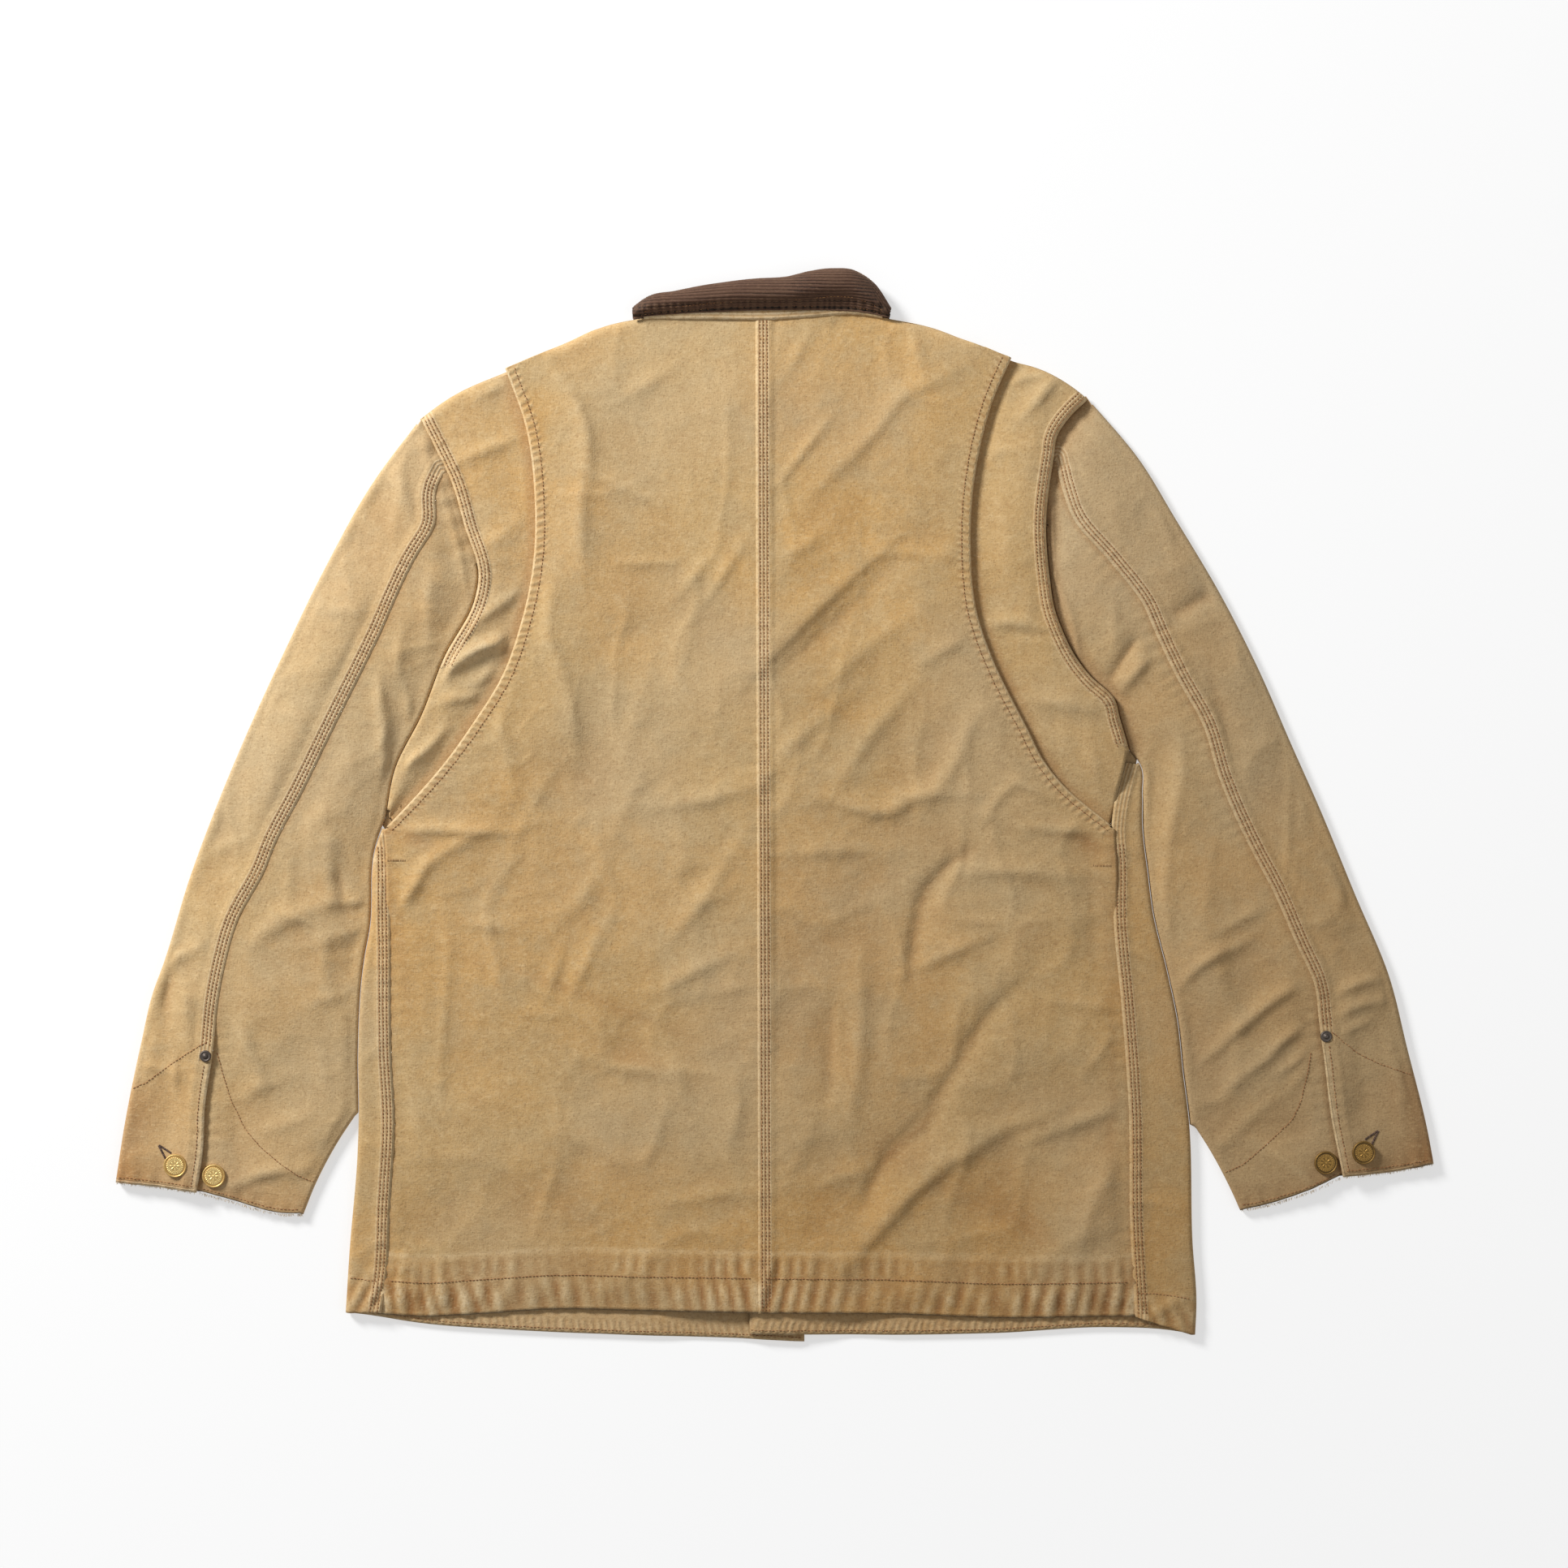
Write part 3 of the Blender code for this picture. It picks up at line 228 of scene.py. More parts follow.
def uneven(points, cell, seed, stretch=1.0):
    """Smooth random values from -1 to 1, with bumps about a cell apart."""
    lattice = np.random.default_rng(seed).uniform(-1, 1, (256, 256))
    x, y = points[..., 0] / cell + 120.3, points[..., 1] / (cell * stretch) + 120.7
    i, j = np.floor(x).astype(int) % 255, np.floor(y).astype(int) % 255
    p, q = ease(x - np.floor(x)), ease(y - np.floor(y))
    low = lattice[i, j] * (1 - p) + lattice[i + 1, j] * p
    high = lattice[i, j + 1] * (1 - p) + lattice[i + 1, j + 1] * p
    return low * (1 - q) + high * q


def crumple(points, seed, amount):
    """Worn cloth's own unevenness: broad swells, and thin ridges where it was creased."""
    drift = np.stack([uneven(points, 47.0, seed + 4), uneven(points, 47.0, seed + 5)], axis=-1)
    bent = points[..., :2] + 14.0 * drift
    swell = uneven(bent, 66.0, seed) + 0.5 * uneven(bent, 29.0, seed + 1, 1.3)
    ridged = 1 - np.abs(uneven(bent, 43.0, seed + 2, 1.5))
    fine = 1 - np.abs(uneven(bent, 19.0, seed + 3, 0.8))
    return amount * (0.8 * swell + 0.7 * ridged ** 4 + 0.25 * fine ** 4 - 0.25)


def puckers(along, away, pitch, reach, depth, seed):
    """Ripples across a sewn edge, uneven in spacing and depth."""
    place = np.stack([along, np.full_like(along, 3.0)], axis=-1)
    shift = uneven(place, 2.3 * pitch, seed)
    size = 0.6 + 0.6 * uneven(place, 3.1 * pitch, seed + 1)
    return depth * size * np.sin(2 * math.pi * along / pitch + 2.6 * shift) * bell(away, reach)


def lapped(away, rise=0.9, band=11.0):
    """Rise of a lapped seam's band over the panel: rounded at its edge, soft at its far side."""
    rounded = 0.55 * (1 - np.sqrt(np.clip(1 - (1 - np.clip(away, 0, 1.3) / 1.3) ** 2, 0, 1)))
    return rise * ease(1 - (away - band) / 3.0) - rounded


def raised(xy, z):
    return np.concatenate([xy, np.broadcast_to(z, xy.shape[:-1])[..., None]], axis=-1)


def half_turn(edge, inward, high, low, cells):
    """Columns of cloth that rounds an edge from the level high to the level low, ends left out."""
    radius = np.broadcast_to(np.maximum(np.asarray(high) - low, 0.0) / 2, len(edge))
    middle = moved(edge, inward * (radius + CLOTH / 2))
    out = moved(edge, -inward) - edge
    angles = math.pi * np.arange(1, cells) / cells
    return np.stack([raised(middle + out * (math.sin(a) * radius)[:, None], low + radius * (1 + math.cos(a)))
                     for a in angles], axis=1)


def spread(*runs):
    """Fractions across a piece from runs of (length, cell size)."""
    places = [0.0]
    for length, cell in runs:
        count = max(1, round(length / cell))
        places += list(places[-1] + length * np.arange(1, count + 1) / count)
    return np.array(places) / places[-1]


def pleat_line(side, count=64):
    return all_down(PLEAT_EDGE[side], count)


def seam_line(side, count=64):
    return down(SIDE_SEAM[side], PLEAT_EDGE[side][-1][0], SIDE_SEAM[side][-1][0], count)


def shoulder_round(points, height, edge, share=1.0):
    """Heights of a top sheet that rounds down to the shoulder seam."""
    t = np.clip((nearest(points, edge)[0] - CLOTH / 2) / 6.0, 0, 1)
    lowered = SHOULDER_LEVEL + (height - SHOULDER_LEVEL) * np.sqrt(1 - (1 - t) ** 2)
    return height + (lowered - height) * share


class Value:
    """A shader socket that takes part in Python expressions."""

    def __init__(self, finish, socket):
        self.finish, self.socket = finish, socket

    def maths(self, operation, a, b):
        return self.finish.node("ShaderNodeMath", {"operation": operation}, {0: a, 1: b})

    def __add__(self, other):
        return self.maths("ADD", self, other)

    def __mul__(self, other):
        return self.maths("MULTIPLY", self, other)

    def __sub__(self, other):
        return self.maths("SUBTRACT", self, other)

    def __rsub__(self, other):
        return self.maths("SUBTRACT", other, self)

    __radd__, __rmul__ = __add__, __mul__

    def within(self, low, high):
        """0 at low and 1 at high, with soft ends."""
        settings = {"interpolation_type": "SMOOTHSTEP"}
        return self.finish.node("ShaderNodeMapRange", settings, {0: self, 1: low, 2: high})


class Finish:
    """A node material with a Principled shader."""

    def __init__(self, name, roughness=0.9, metallic=0.0):
        self.material = bpy.data.materials.new(name)
        self.material.use_nodes = True
        self.tree = self.material.node_tree
        self.shader = self.tree.nodes["Principled BSDF"]
        self.shader.inputs["Roughness"].default_value = roughness
        self.shader.inputs["Metallic"].default_value = metallic
        self.place = self.node("ShaderNodeTexCoord", out="Object")

    def node(self, kind, settings={}, sockets={}, out=0):
        made = self.tree.nodes.new(kind)
        for key, value in settings.items():
            setattr(made, key, value)
        self.feed(made, sockets)
        return Value(self, made.outputs[out])

    def feed(self, made, sockets):
        for key, value in sockets.items():
            if isinstance(value, Value):
                self.tree.links.new(value.socket, made.inputs[key])
            else:
                made.inputs[key].default_value = value

    def noise(self, size, detail=2.0, stretch=(1.0, 1.0, 1.0), offset=0.0, rough=0.5):
        """Noise from 0 to 1 with spots about size mm apart, longer where stretch is under 1."""
        scale = tuple(part / (size * MM) for part in stretch)
        place = self.node("ShaderNodeMapping", {}, {"Vector": self.place, "Scale": scale,
                                                    "Location": (offset, offset, offset)})
        return self.node("ShaderNodeTexNoise", {}, {"Vector": place, "Scale": 1.0, "Detail": detail,
                                                    "Roughness": rough})

    def read(self, name):
        return self.node("ShaderNodeAttribute", {"attribute_name": name}, out="Fac")

    def mix(self, share, a, b, blend="MIX"):
        settings = {"data_type": "RGBA", "blend_type": blend}
        return self.node("ShaderNodeMix", settings, {0: share, 6: a, 7: b}, out=2)

    def use(self, colour, relief, depth, strength, roughness=None):
        self.feed(self.shader, {"Base Color": colour})
        if roughness is not None:
            self.feed(self.shader, {"Roughness": roughness})
        bump = self.node("ShaderNodeBump", {}, {"Height": relief, "Distance": depth * MM,
                                                "Strength": strength}, out="Normal")
        self.feed(self.shader, {"Normal": bump})
        return self.material


def linear(red, green, blue):
    """A colour read as 0 to 255 values."""
    parts = [part / 255 for part in (red, green, blue)]
    return tuple(p / 12.92 if p <= 0.04045 else ((p + 0.055) / 1.055) ** 2.4 for p in parts) + (1.0,)


# How far the three rows of a lapped seam lie from its edge.
SEAM_ROWS = (2.7, 5.5, 8.3)


def canvas_finish(name):
    """Washed duck canvas: even tan, browner hems, pale worn edges, painted shade in hollows, painted
    highlight on crests.
    """
    f = Finish(name, roughness=0.95)
    tan, gold, khaki = linear(184, 153, 104), linear(188, 150, 94), linear(174, 151, 111)
    rust, sand, cream = linear(148, 102, 54), linear(206, 181, 138), linear(226, 209, 174)
    broad = f.noise(150.0, 3.0, offset=3.1)
    patchy = f.noise(46.0, 4.0, offset=7.7, rough=0.65)
    mottle = f.noise(7.0, 3.0, offset=6.1, rough=0.7)
    slub = f.noise(2.0, 2.0, (0.55, 1.0, 1.0), 1.3, 0.6)
    fleck = f.noise(1.6, 2.0, offset=4.3, rough=0.7)
    warp = f.noise(0.9, 1.0, (1.0, 0.2, 1.0), 5.0)
    weft = f.noise(0.9, 1.0, (0.2, 1.0, 1.0), 9.0)
    away, along, rucked = f.read("away"), f.read("along"), f.read("rucked")
    wear_and_highlight, grime_and_shade, tone = f.read("wear_and_highlight"), f.read("grime_and_shade"), f.read("tone")
    rubbed = f.noise(5.0, 3.0, offset=2.2, rough=0.65)
    ripple = f.node("ShaderNodeMath", {"operation": "SINE"}, {0: along * 1.1 + patchy * 14.0 + away * 0.3})
    row_wave = 2 * math.pi / (SEAM_ROWS[1] - SEAM_ROWS[0])
    channel = f.node("ShaderNodeMath", {"operation": "COSINE"}, {0: (away - SEAM_ROWS[0]) * row_wave})
    band = (1 - away.within(8.0, 12.0)) * away.within(0.8, 1.8) * rucked
    sewn = (1 - away.within(9.4, 10.8)) * away.within(0.8, 1.6) * (1 - rucked)
    colour = f.mix(broad.within(0.4, 0.62), tan, gold)
    for share, shade in (
            (patchy.within(0.42, 0.66) * 0.6, khaki),
            ((1 - patchy).within(0.56, 0.72) * 0.13, rust),
            (mottle.within(0.45, 0.75) * 0.3, sand),
            ((1 - mottle).within(0.5, 0.75) * 0.22, rust),
            (tone * 0.6, linear(176, 157, 126)),
            # Painted shade in creases, hollows, recesses and beside lapping edges, with stains, grime and hem
            # bands, in rust.
            (grime_and_shade * 0.85, rust),
            # Along the pleat and hem bands: painted shade in the ripples' dips, pale wear and painted
            # highlight on their crests.
            (band * (0.5 - ripple * 0.5) * rubbed.within(0.25, 0.65) * 0.45, rust),
            (band * (0.5 + ripple * 0.5) * rubbed.within(0.3, 0.7) * 0.5, sand),
            (sewn * (0.5 - channel * 0.5) * rubbed.within(0.1, 0.6) * 0.5, cream),
            (sewn * (0.5 + channel * 0.5) * 0.34, rust),
            # Pale from wear on edges and cuffs, with painted highlight on fold and pucker crests.
            (wear_and_highlight * rubbed.within(0.2, 0.7) * 0.7, cream),
            ((1 - away.within(0.5, 1.5)) * rubbed.within(0.2, 0.7) * 0.4, cream),
            (slub.within(0.48, 0.78) * 0.42, sand),
            ((1 - fleck).within(0.48, 0.78) * 0.55, linear(130, 98, 60))):
        colour = f.mix(share, colour, shade)
    # Painted light falloff: lighter towards the upper left, where the light is strongest, darker and browner
    # towards the lower right.
    middle = f.node("ShaderNodeSeparateXYZ", {}, {0: f.place})
    upward = f.node("ShaderNodeSeparateXYZ", {}, {0: f.place}, out=1)
    painted_falloff = middle * 0.62 - upward * 0.62 + 0.5
    painted_falloff_tint = f.mix(painted_falloff.within(-0.1, 1.1), (1.28, 1.28, 1.29, 1.0), (0.73, 0.67, 0.58, 1.0))
    colour = f.mix(1.0, colour, painted_falloff_tint, "MULTIPLY")
    relief = (warp + weft) * 0.3 + fleck * 0.45 + slub * 0.35 + mottle * 0.8 + band * ripple * 0.5
    relief = relief - sewn * channel * 0.4
    return f.use(colour, relief, depth=0.5, strength=0.85)


def placed(name, thing):
    """A new object in the scene."""
    item = bpy.data.objects.new(name, thing)
    bpy.context.scene.collection.objects.link(item)
    return item


def piece(name, points, faces, finish, marks, node=None):
    """A mesh on the coat's body, with a value a point for each of its marks."""
    mesh = bpy.data.meshes.new(name)
    mesh.from_pydata(points * MM, [], faces)
    mesh.shade_smooth()
    for key, values in marks.items():
        layer = mesh.attributes.new(key, "FLOAT", "POINT")
        layer.data.foreach_set("value", values.astype(np.float32))
    mesh.materials.append(finish)
    item = placed(name, mesh)
    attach(item, "root")
    if node:
        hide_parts(node)
    return item


def flat_size(points):
    """Width, length and area in metres of a grid of points when it is laid out flat."""
    wide = np.linalg.norm(np.diff(points, axis=1), axis=2)
    tall = np.linalg.norm(np.diff(points, axis=0), axis=2)
    cells = (wide[:-1] + wide[1:]) / 2 * (tall[:, :-1] + tall[:, 1:]) / 2
    a, b = points[1:, :-1] - points[:-1, :-1], points[:-1, 1:] - points[:-1, :-1]
    cells = np.minimum(cells, np.linalg.norm(np.cross(a, b), axis=2) * 1.02)
    width, length = wide.sum(axis=1).max() * MM, tall.sum(axis=0).max() * MM
    return width, length, min(cells.sum() * MM * MM, width * length)


# What the shaders read at each point, with its plain value: how far away the nearest sewn edge is, the
# place along it, how pale from wear and painted highlight, how brown from grime and painted shade, how grey
# the cloth is, and how rucked its seam is.
MARKS = {"away": 30.0, "along": 0.0, "wear_and_highlight": 0.0, "grime_and_shade": 0.0, "tone": 0.0, "rucked": 0.0}


def carried(marks, before, after):
    """Marks of a sheet, carried on to the columns that are added before and after it."""
    shape = marks["away"].shape
    return {key: np.pad(np.broadcast_to(values, shape), ((0, 0), (before, after)), "edge")
            for key, values in marks.items()}


def cloth(name, node, points, marks, rests_on=(), kept=None, shown=None, strip=(0.0, 0.0),
          finish=None):
    """A wall of cloth on a grid of points. Its cut is the columns shown and a strip turned in."""
    rows, columns = points.shape[:2]
    kept = np.ones((rows, columns), dtype=bool) if kept is None else kept
    number = np.cumsum(kept.ravel()).reshape(rows, columns) - 1
    corners = np.stack([number[:-1, :-1], number[1:, :-1], number[1:, 1:], number[:-1, 1:]], axis=-1)
    corners = corners[kept[:-1, :-1] & kept[1:, :-1] & kept[1:, 1:] & kept[:-1, 1:]]
    beside, below = points[0, 1, :2] - points[0, 0, :2], points[1, 0, :2] - points[0, 0, :2]
    if beside[0] * below[1] - beside[1] * below[0] < 0:
        corners = corners[:, ::-1]
    values = {key: np.broadcast_to(marks.get(key, plain), (rows, columns))[kept]
              for key, plain in MARKS.items()}
    item = piece(name, points[kept], corners.tolist(), finish or canvas, values, node)
    wall = item.modifiers.new("cloth", "SOLIDIFY")
    wall.thickness, wall.offset, wall.use_even_offset = CLOTH * MM, 0.0, False
    width, length, area = flat_size(points[:, :shown])
    width += strip[0] * MM
    area = min(area + strip[0] * strip[1] * MM * MM, width * length)


def back_level(points, side):
    """Level of a back at plan points, and its marks of wear, stains, painted shade and painted highlight."""
    pleat, seam, hem = pleat_line(side), seam_line(side), all_across(BACK_HEM[side], 48)
    centre = np.array(CENTRE_SEAM)
    (to_pleat, on_pleat), (to_seam, on_seam) = nearest(points, pleat), nearest(points, seam)
    (to_hem, on_hem), (to_centre, on_centre) = nearest(points, hem), nearest(points, centre)
    ridge = ease(1 - np.abs(points[..., 0] + 2.0) / 95.0) * ease((CENTRE_SEAM[0][1] - points[..., 1]) / 60.0)
    at_pleat = (PLEAT_LEVEL - BACK_LEVEL) * ease(1 - (to_pleat - 34.0) / 62.0)
    at_side = (SIDE_LEVEL - BACK_LEVEL) * ease(1 - to_seam / 45.0)
    height = BACK_LEVEL + np.maximum(np.maximum((CENTRE_LEVEL - BACK_LEVEL) * ridge, at_pleat), at_side)
    clear = ease((to_pleat - 5.0) / 18.0) * ease((to_seam - 3.0) / 16.0)
    rise, crest = folds(points, BACK_FOLDS)
    loose = clear * ease((to_centre - 2.0) / 16.0) * ease((to_hem - 3.0) / 22.0)
    lower_back = ease((170.0 - points[..., 1]) / 160.0)
    rough = crumple(points, 11 if side == "left" else 21, 1.3 + 0.7 * lower_back) * loose
    stained = folds(points, BACK_STAINS)[1]
    height = np.maximum(height + rise * clear + rough, LOWEST_BACK)
    wave = puckers(on_hem + 0.2 * to_hem, to_hem - 12.0, 12.5, 14.0, 2.0, 31)
    wave += puckers(on_hem - 0.4 * to_hem, to_hem - 10.0, 27.0, 13.0, 0.7, 39)
    wave += puckers(on_hem, to_hem - 35.0, 11.0, 7.0, 0.7, 47)
    height += wave * ease(to_seam / 8.0)
    height += puckers(on_pleat, to_pleat - 3.0, 9.0, 5.0, 0.3, 33)
    height += puckers(on_centre, to_centre - 4.0, 11.0, 9.0, 0.22, 35)
    height += puckers(on_seam, to_seam - 4.0, 12.0, 9.0, 0.3, 37)
    height += 0.45 * ease(1 - (to_hem - 44.0) / 3.0) + 0.25 * bell(to_hem - 10.0, 1.6)
    lowered = ease(1 - to_hem / 20.0) * ease((np.abs(points[..., 0] + 2.0) - 62.0) / 40.0)
    height = np.maximum(height - 1.7 * lowered, LOWEST_BACK + 0.8 * lowered)
    if side == "right":
        height += lapped(to_centre)
    past_neck = ease((np.abs(points[..., 0] + 9.0) - 86.0) / 14.0) * ease((to_pleat - 26.0) / 22.0)
    top_line = across(BACK_TOP[side], BACK_TOP[side][-1][0], BACK_TOP[side][0][0], 60)
    height = shoulder_round(points, height, top_line, past_neck)
    away = np.minimum(np.minimum(to_pleat, to_hem), to_centre if side == "right" else 30.0)
    along = np.select([to_pleat == away, to_hem == away], [on_pleat, on_hem], on_centre)
    away = np.where(to_hem == away, np.where(away < 2.5, away, 30.0), away)
    line = bell(to_hem - 45.5, 1.8)
    hemmed = 0.26 * ease(1 - (to_hem - 40.0) / 6.0)
    # Painted shade in fold troughs, crumple hollows, pucker troughs and beside the side strip's lapping edge;
    # painted highlight on fold and pucker crests; rust stains, the browner hem band and the pale worn line
    # above the hem are the cloth's own.
    marks = {"away": away, "along": along,
             "rucked": np.where(to_pleat > away, 0.2, 1.0),
             "wear_and_highlight": np.clip(0.06 * crest * clear + 0.05 * rough + 0.45 * line + 0.8 * wave, 0, 1),
             "grime_and_shade": np.clip(-0.13 * crest * clear - 0.1 * rough + hemmed - 0.75 * wave
                             + 0.3 * ease(1 - to_seam / 4.0) + stained, 0, 1),
             "tone": np.clip(0.25 + 0.5 * uneven(points, 90.0, 51), 0, 1)}
    return height, marks


def back(side):
    inward = INWARD[side]
    pleat_rows, seam_rows = 136, 130
    outline = np.concatenate([pleat_line(side, pleat_rows + 1), seam_line(side, seam_rows + 1)[1:]])
    count = pleat_rows + seam_rows
    length = CENTRE_SEAM[0][1] - CENTRE_SEAM[1][1]
    v = np.concatenate([np.array([-1.5, 0.9, 1.2, 1.8]) / length, np.arange(1, count + 1) / count])
    edge = picked(outline, v)
    pleated = v * count < pleat_rows + 0.5
    inset = np.where(pleated, PLEAT_FOLD_RADIUS + CLOTH / 2, -UNDERLAP)
    far = moved(edge, inward * inset)
    near = picked(np.array(CENTRE_SEAM), v) + np.array([UNDERLAP if side == "left" else 0.0, 0.0])
    u = spread((16.0, 1.6), (220.0, 2.6), (14.0, 1.8))
    top = picked(across(BACK_TOP[side], near[0, 0], outline[0, 0], len(u)), u)
    hem = picked(across(BACK_HEM[side], near[-1, 0], far[-1, 0], len(u)), u)
    sheet = patch(near, far, top, hem, u, v)
    height, marks = back_level(sheet, side)
    low = PLEAT_LEVEL - 2 * PLEAT_FOLD_RADIUS
    turn = half_turn(edge, inward, np.where(pleated, height[:, -1], PLEAT_LEVEL), low, 7)
    hidden = [raised(moved(edge, inward * (inset + PLEAT_RETURN * k / 2)), low) for k in range(3)]
    points = np.concatenate([raised(sheet, height), turn, np.stack(hidden, axis=1)], axis=1)
    kept = np.ones(points.shape[:2], dtype=bool)
    kept[:, len(u):] = pleated[:, None]
    marks = carried(marks, 0, points.shape[1] - len(u))
    marks["away"][:, len(u):] = 0.0
    cloth("back_panel_" + side, "back_" + side, points, marks,
          ["front_panel_" + side, "side_panel_" + side], kept, len(u), (PLEAT_RETURN, PLEAT_LENGTH))


canvas = canvas_finish("duck_canvas")
for side in ("left", "right"):
    back(side)

# The side panels.
# A narrow canvas panel from under each pleat to the armhole, where its edge is turned under and sewn
# flat over the sleeve. It gives the arm room to move, and it is creased, with painted shadow where the pleat
# covers it.
GUSSET_RADIUS, GUSSET_RETURN, GUSSET_LENGTH = {"left": 1.5, "right": 2.9}, 8.0, 300.0
# How far the panel reaches in under the pleat, and the level down to which its edge is sewn.
TUCK = 22.0
SEWN_ABOVE = {"left": 104.0, "right": 44.0}
ARMHOLE = {
    "left": ((295.5, -270.5), (268.5, -257), (250, -248), (214, -237), (174, -226), (155.5, -229.5),
        (114.5, -251.5), (68, -270), (30, -289), (-9.5, -297)),
    "right": ((310.5, 239.5), (298, 226.5), (283, 216), (266, 213), (213.5, 207), (172.5, 210),
        (150.5, 213.5), (131.5, 220.5), (114, 229.5), (98, 242), (84, 257.5), (66, 263.5), (42, 270.5)),
}
GUSSET_END = {
    "left": ((-282, 0), (-294.6, -9.5)),
    "right": ((244, -30), (257.5, -14), (261, 8), (265.2, 25), (268.6, 41.5)),
}
SHOULDER = {
    "left": ((-270.5, 295.5), (-249.5, 311), (-219, 326), (-206, 331)),
    "right": ((184, 338.5), (198, 335), (226.5, 320.5), (239.5, 310.5)),
}
GUSSET_FOLDS = {
    "left": ((-240, 128, -190, 166, 10, 7, 2.6, 2), (-270, 82, -214, 123, 9, 6, 3.9, 5),
        (-232, 118, -192, 125, 8, 6, 2.8, 2), (-224, 96, -206, 105, 6, 6, 2.2, 0),
        (-252, 80, -222, 85, 7, 6, 2.2, 0), (-242, 262, -196, 282, 8, 7, 1.8, 0),
        (-232, 318, -212, 300, 8, 9, 1.6, 0), (-256, 54, -284, 30, 6, 5, 2.4, 2),
        (-236, 30, -262, 14, 6, 6, 1.4, 2), (-200, 214, -226, 198, 8, 9, 1.2, 3),
        (-208, 322, -224, 314, 5, 4, 1.6, 1)),
    "right": ((195, 303, 213, 325, 8, 6, 3.4, 0), (160, 139, 199, 136, 10, 6, 2.8, 2),
        (196, 81, 233, 76, 9, 7, 2.2, 0), (204, 56, 228, 34, 12, 9, 1.6, 2),
        (178, 322, 214, 330, 4, 6, 2, 2), (160, 270, 190, 272, 9, 9, 1.2, 0),
        (240, 48, 246, 16, 8, 9, 1.6, 0), (244, 6, 258, -12, 6, 6, 1.6, 1),
        (172, 232, 176, 180, 10, 9, 1, 2)),
}


def shoulder_line(side, start, end, count):
    return across(SHOULDER[side] + BACK_TOP[side][1:], start, end, count)


def armhole_line(side, count=64):
    return all_down(ARMHOLE[side], count)


def gusset_level(points, side):
    inward = INWARD[side]
    hidden = moved(pleat_line(side), inward * TUCK)
    past_pleat = np.maximum(nearest(points, hidden)[0] - 26.0, 0.0)
    to_edge, on_edge = nearest(points, armhole_line(side))
    climb = ease(1.4 * past_pleat / (past_pleat + to_edge + 1e-6))
    height = SECOND_LEVEL + 2 * GUSSET_RADIUS[side] * climb
    rise, crest = folds(points, GUSSET_FOLDS[side])
    clear = ease(past_pleat / 9.0) * ease((to_edge - 3.0) / 8.0)
    rough = crumple(points, 61 if side == "left" else 71, 1.4)
    plain = ease((SEWN_ABOVE[side] + 4.0 - points[..., 1]) / 10.0)
    height += (rise + rough) * clear
    height += (puckers(on_edge, to_edge - 4.0, 10.0, 7.0, 0.3, 41) + lapped(to_edge, 0.9, 7.5)) * (1 - plain)
    height -= plain * 1.5 * (1 - np.sqrt(1 - (1 - np.clip(to_edge / 7.0, 0, 1)) ** 2))
    ends = (PLEAT_EDGE[side][0][1] + inward * TUCK, ARMHOLE[side][0][1])
    height = shoulder_round(points, height, shoulder_line(side, *ends, 60))
    # Painted shadow of the pleat on the panel beside it and painted shade in fold troughs and hollows; paler
    # overall on the left, with painted highlight on crests.
    marks = {"away": to_edge + 30.0 * plain, "along": on_edge, "rucked": 0.3,
             "wear_and_highlight": np.clip((0.12 if side == "left" else 0.0) + (0.08 * crest + 0.05 * rough) * clear, 0, 1),
             "grime_and_shade": np.clip(0.5 * ease(1 - past_pleat / 5.0) - 0.16 * crest - 0.1 * rough, 0, 1),
             "tone": np.clip(0.1 + 0.3 * uneven(points, 60.0, 53), 0, 1)}
    return height, marks


def gusset(side):
    inward = INWARD[side]
    rows = 140
    length = PLEAT_EDGE[side][0][0] - PLEAT_EDGE[side][-1][0]
    v = np.concatenate([np.array([0.9, 1.2, 1.8, 2.3]) / length, np.arange(1, rows + 1) / rows])
    edge = picked(armhole_line(side, rows + 1), v)
    inset = GUSSET_RADIUS[side] + CLOTH / 2
    near = picked(moved(pleat_line(side, rows + 1), inward * TUCK), v)
    far = moved(edge, inward * inset)
    u = spread((22.0, 4.0), (26.0, 2.2), (12.0, 1.2))
    bottom = picked(np.array(GUSSET_END[side]), u)
    near[-1], far[-1] = bottom[0], bottom[-1]
    top = picked(shoulder_line(side, near[0, 0], far[0, 0], 40), u)
    sheet = patch(near, far, top, bottom, u, v)
    height, marks = gusset_level(sheet, side)
    high = height[:, -1]
    turn = half_turn(edge, inward, high, SECOND_LEVEL, 6)
    hidden = [raised(moved(edge, inward * (inset + GUSSET_RETURN * k)), SECOND_LEVEL) for k in range(2)]
    points = np.concatenate([raised(sheet, height), turn, np.stack(hidden, axis=1)], axis=1)
    kept = np.ones(points.shape[:2], dtype=bool)
    kept[:, len(u):] = (high - SECOND_LEVEL > 1.6)[:, None]
    marks = carried(marks, 0, points.shape[1] - len(u))
    marks["away"][:, len(u):] = np.where(edge[:, 1:] > SEWN_ABOVE[side], 0.0, 30.0)
    cloth("side_panel_" + side, "side_back_" + side, points, marks, ["front_panel_" + side],
          kept, len(u), (GUSSET_RETURN, GUSSET_LENGTH))


for side in ("left", "right"):
    gusset(side)

# The fronts.
# The two fronts lie face down on the surface under the back. Each comes round the side as a strip, whose
# edge laps over the back at the side seam; their hems show below the back's, with the closing between.
CLOSING_X, CLOSING_BUTTON_HEIGHT = 1.5, 1.8
FRONT_EDGE = {"left": 22.5, "right": -19.0}
NECK_X = {"left": -109.0, "right": 88.5}
NECK_Y, NECK_DROP = 369.5, 67.0
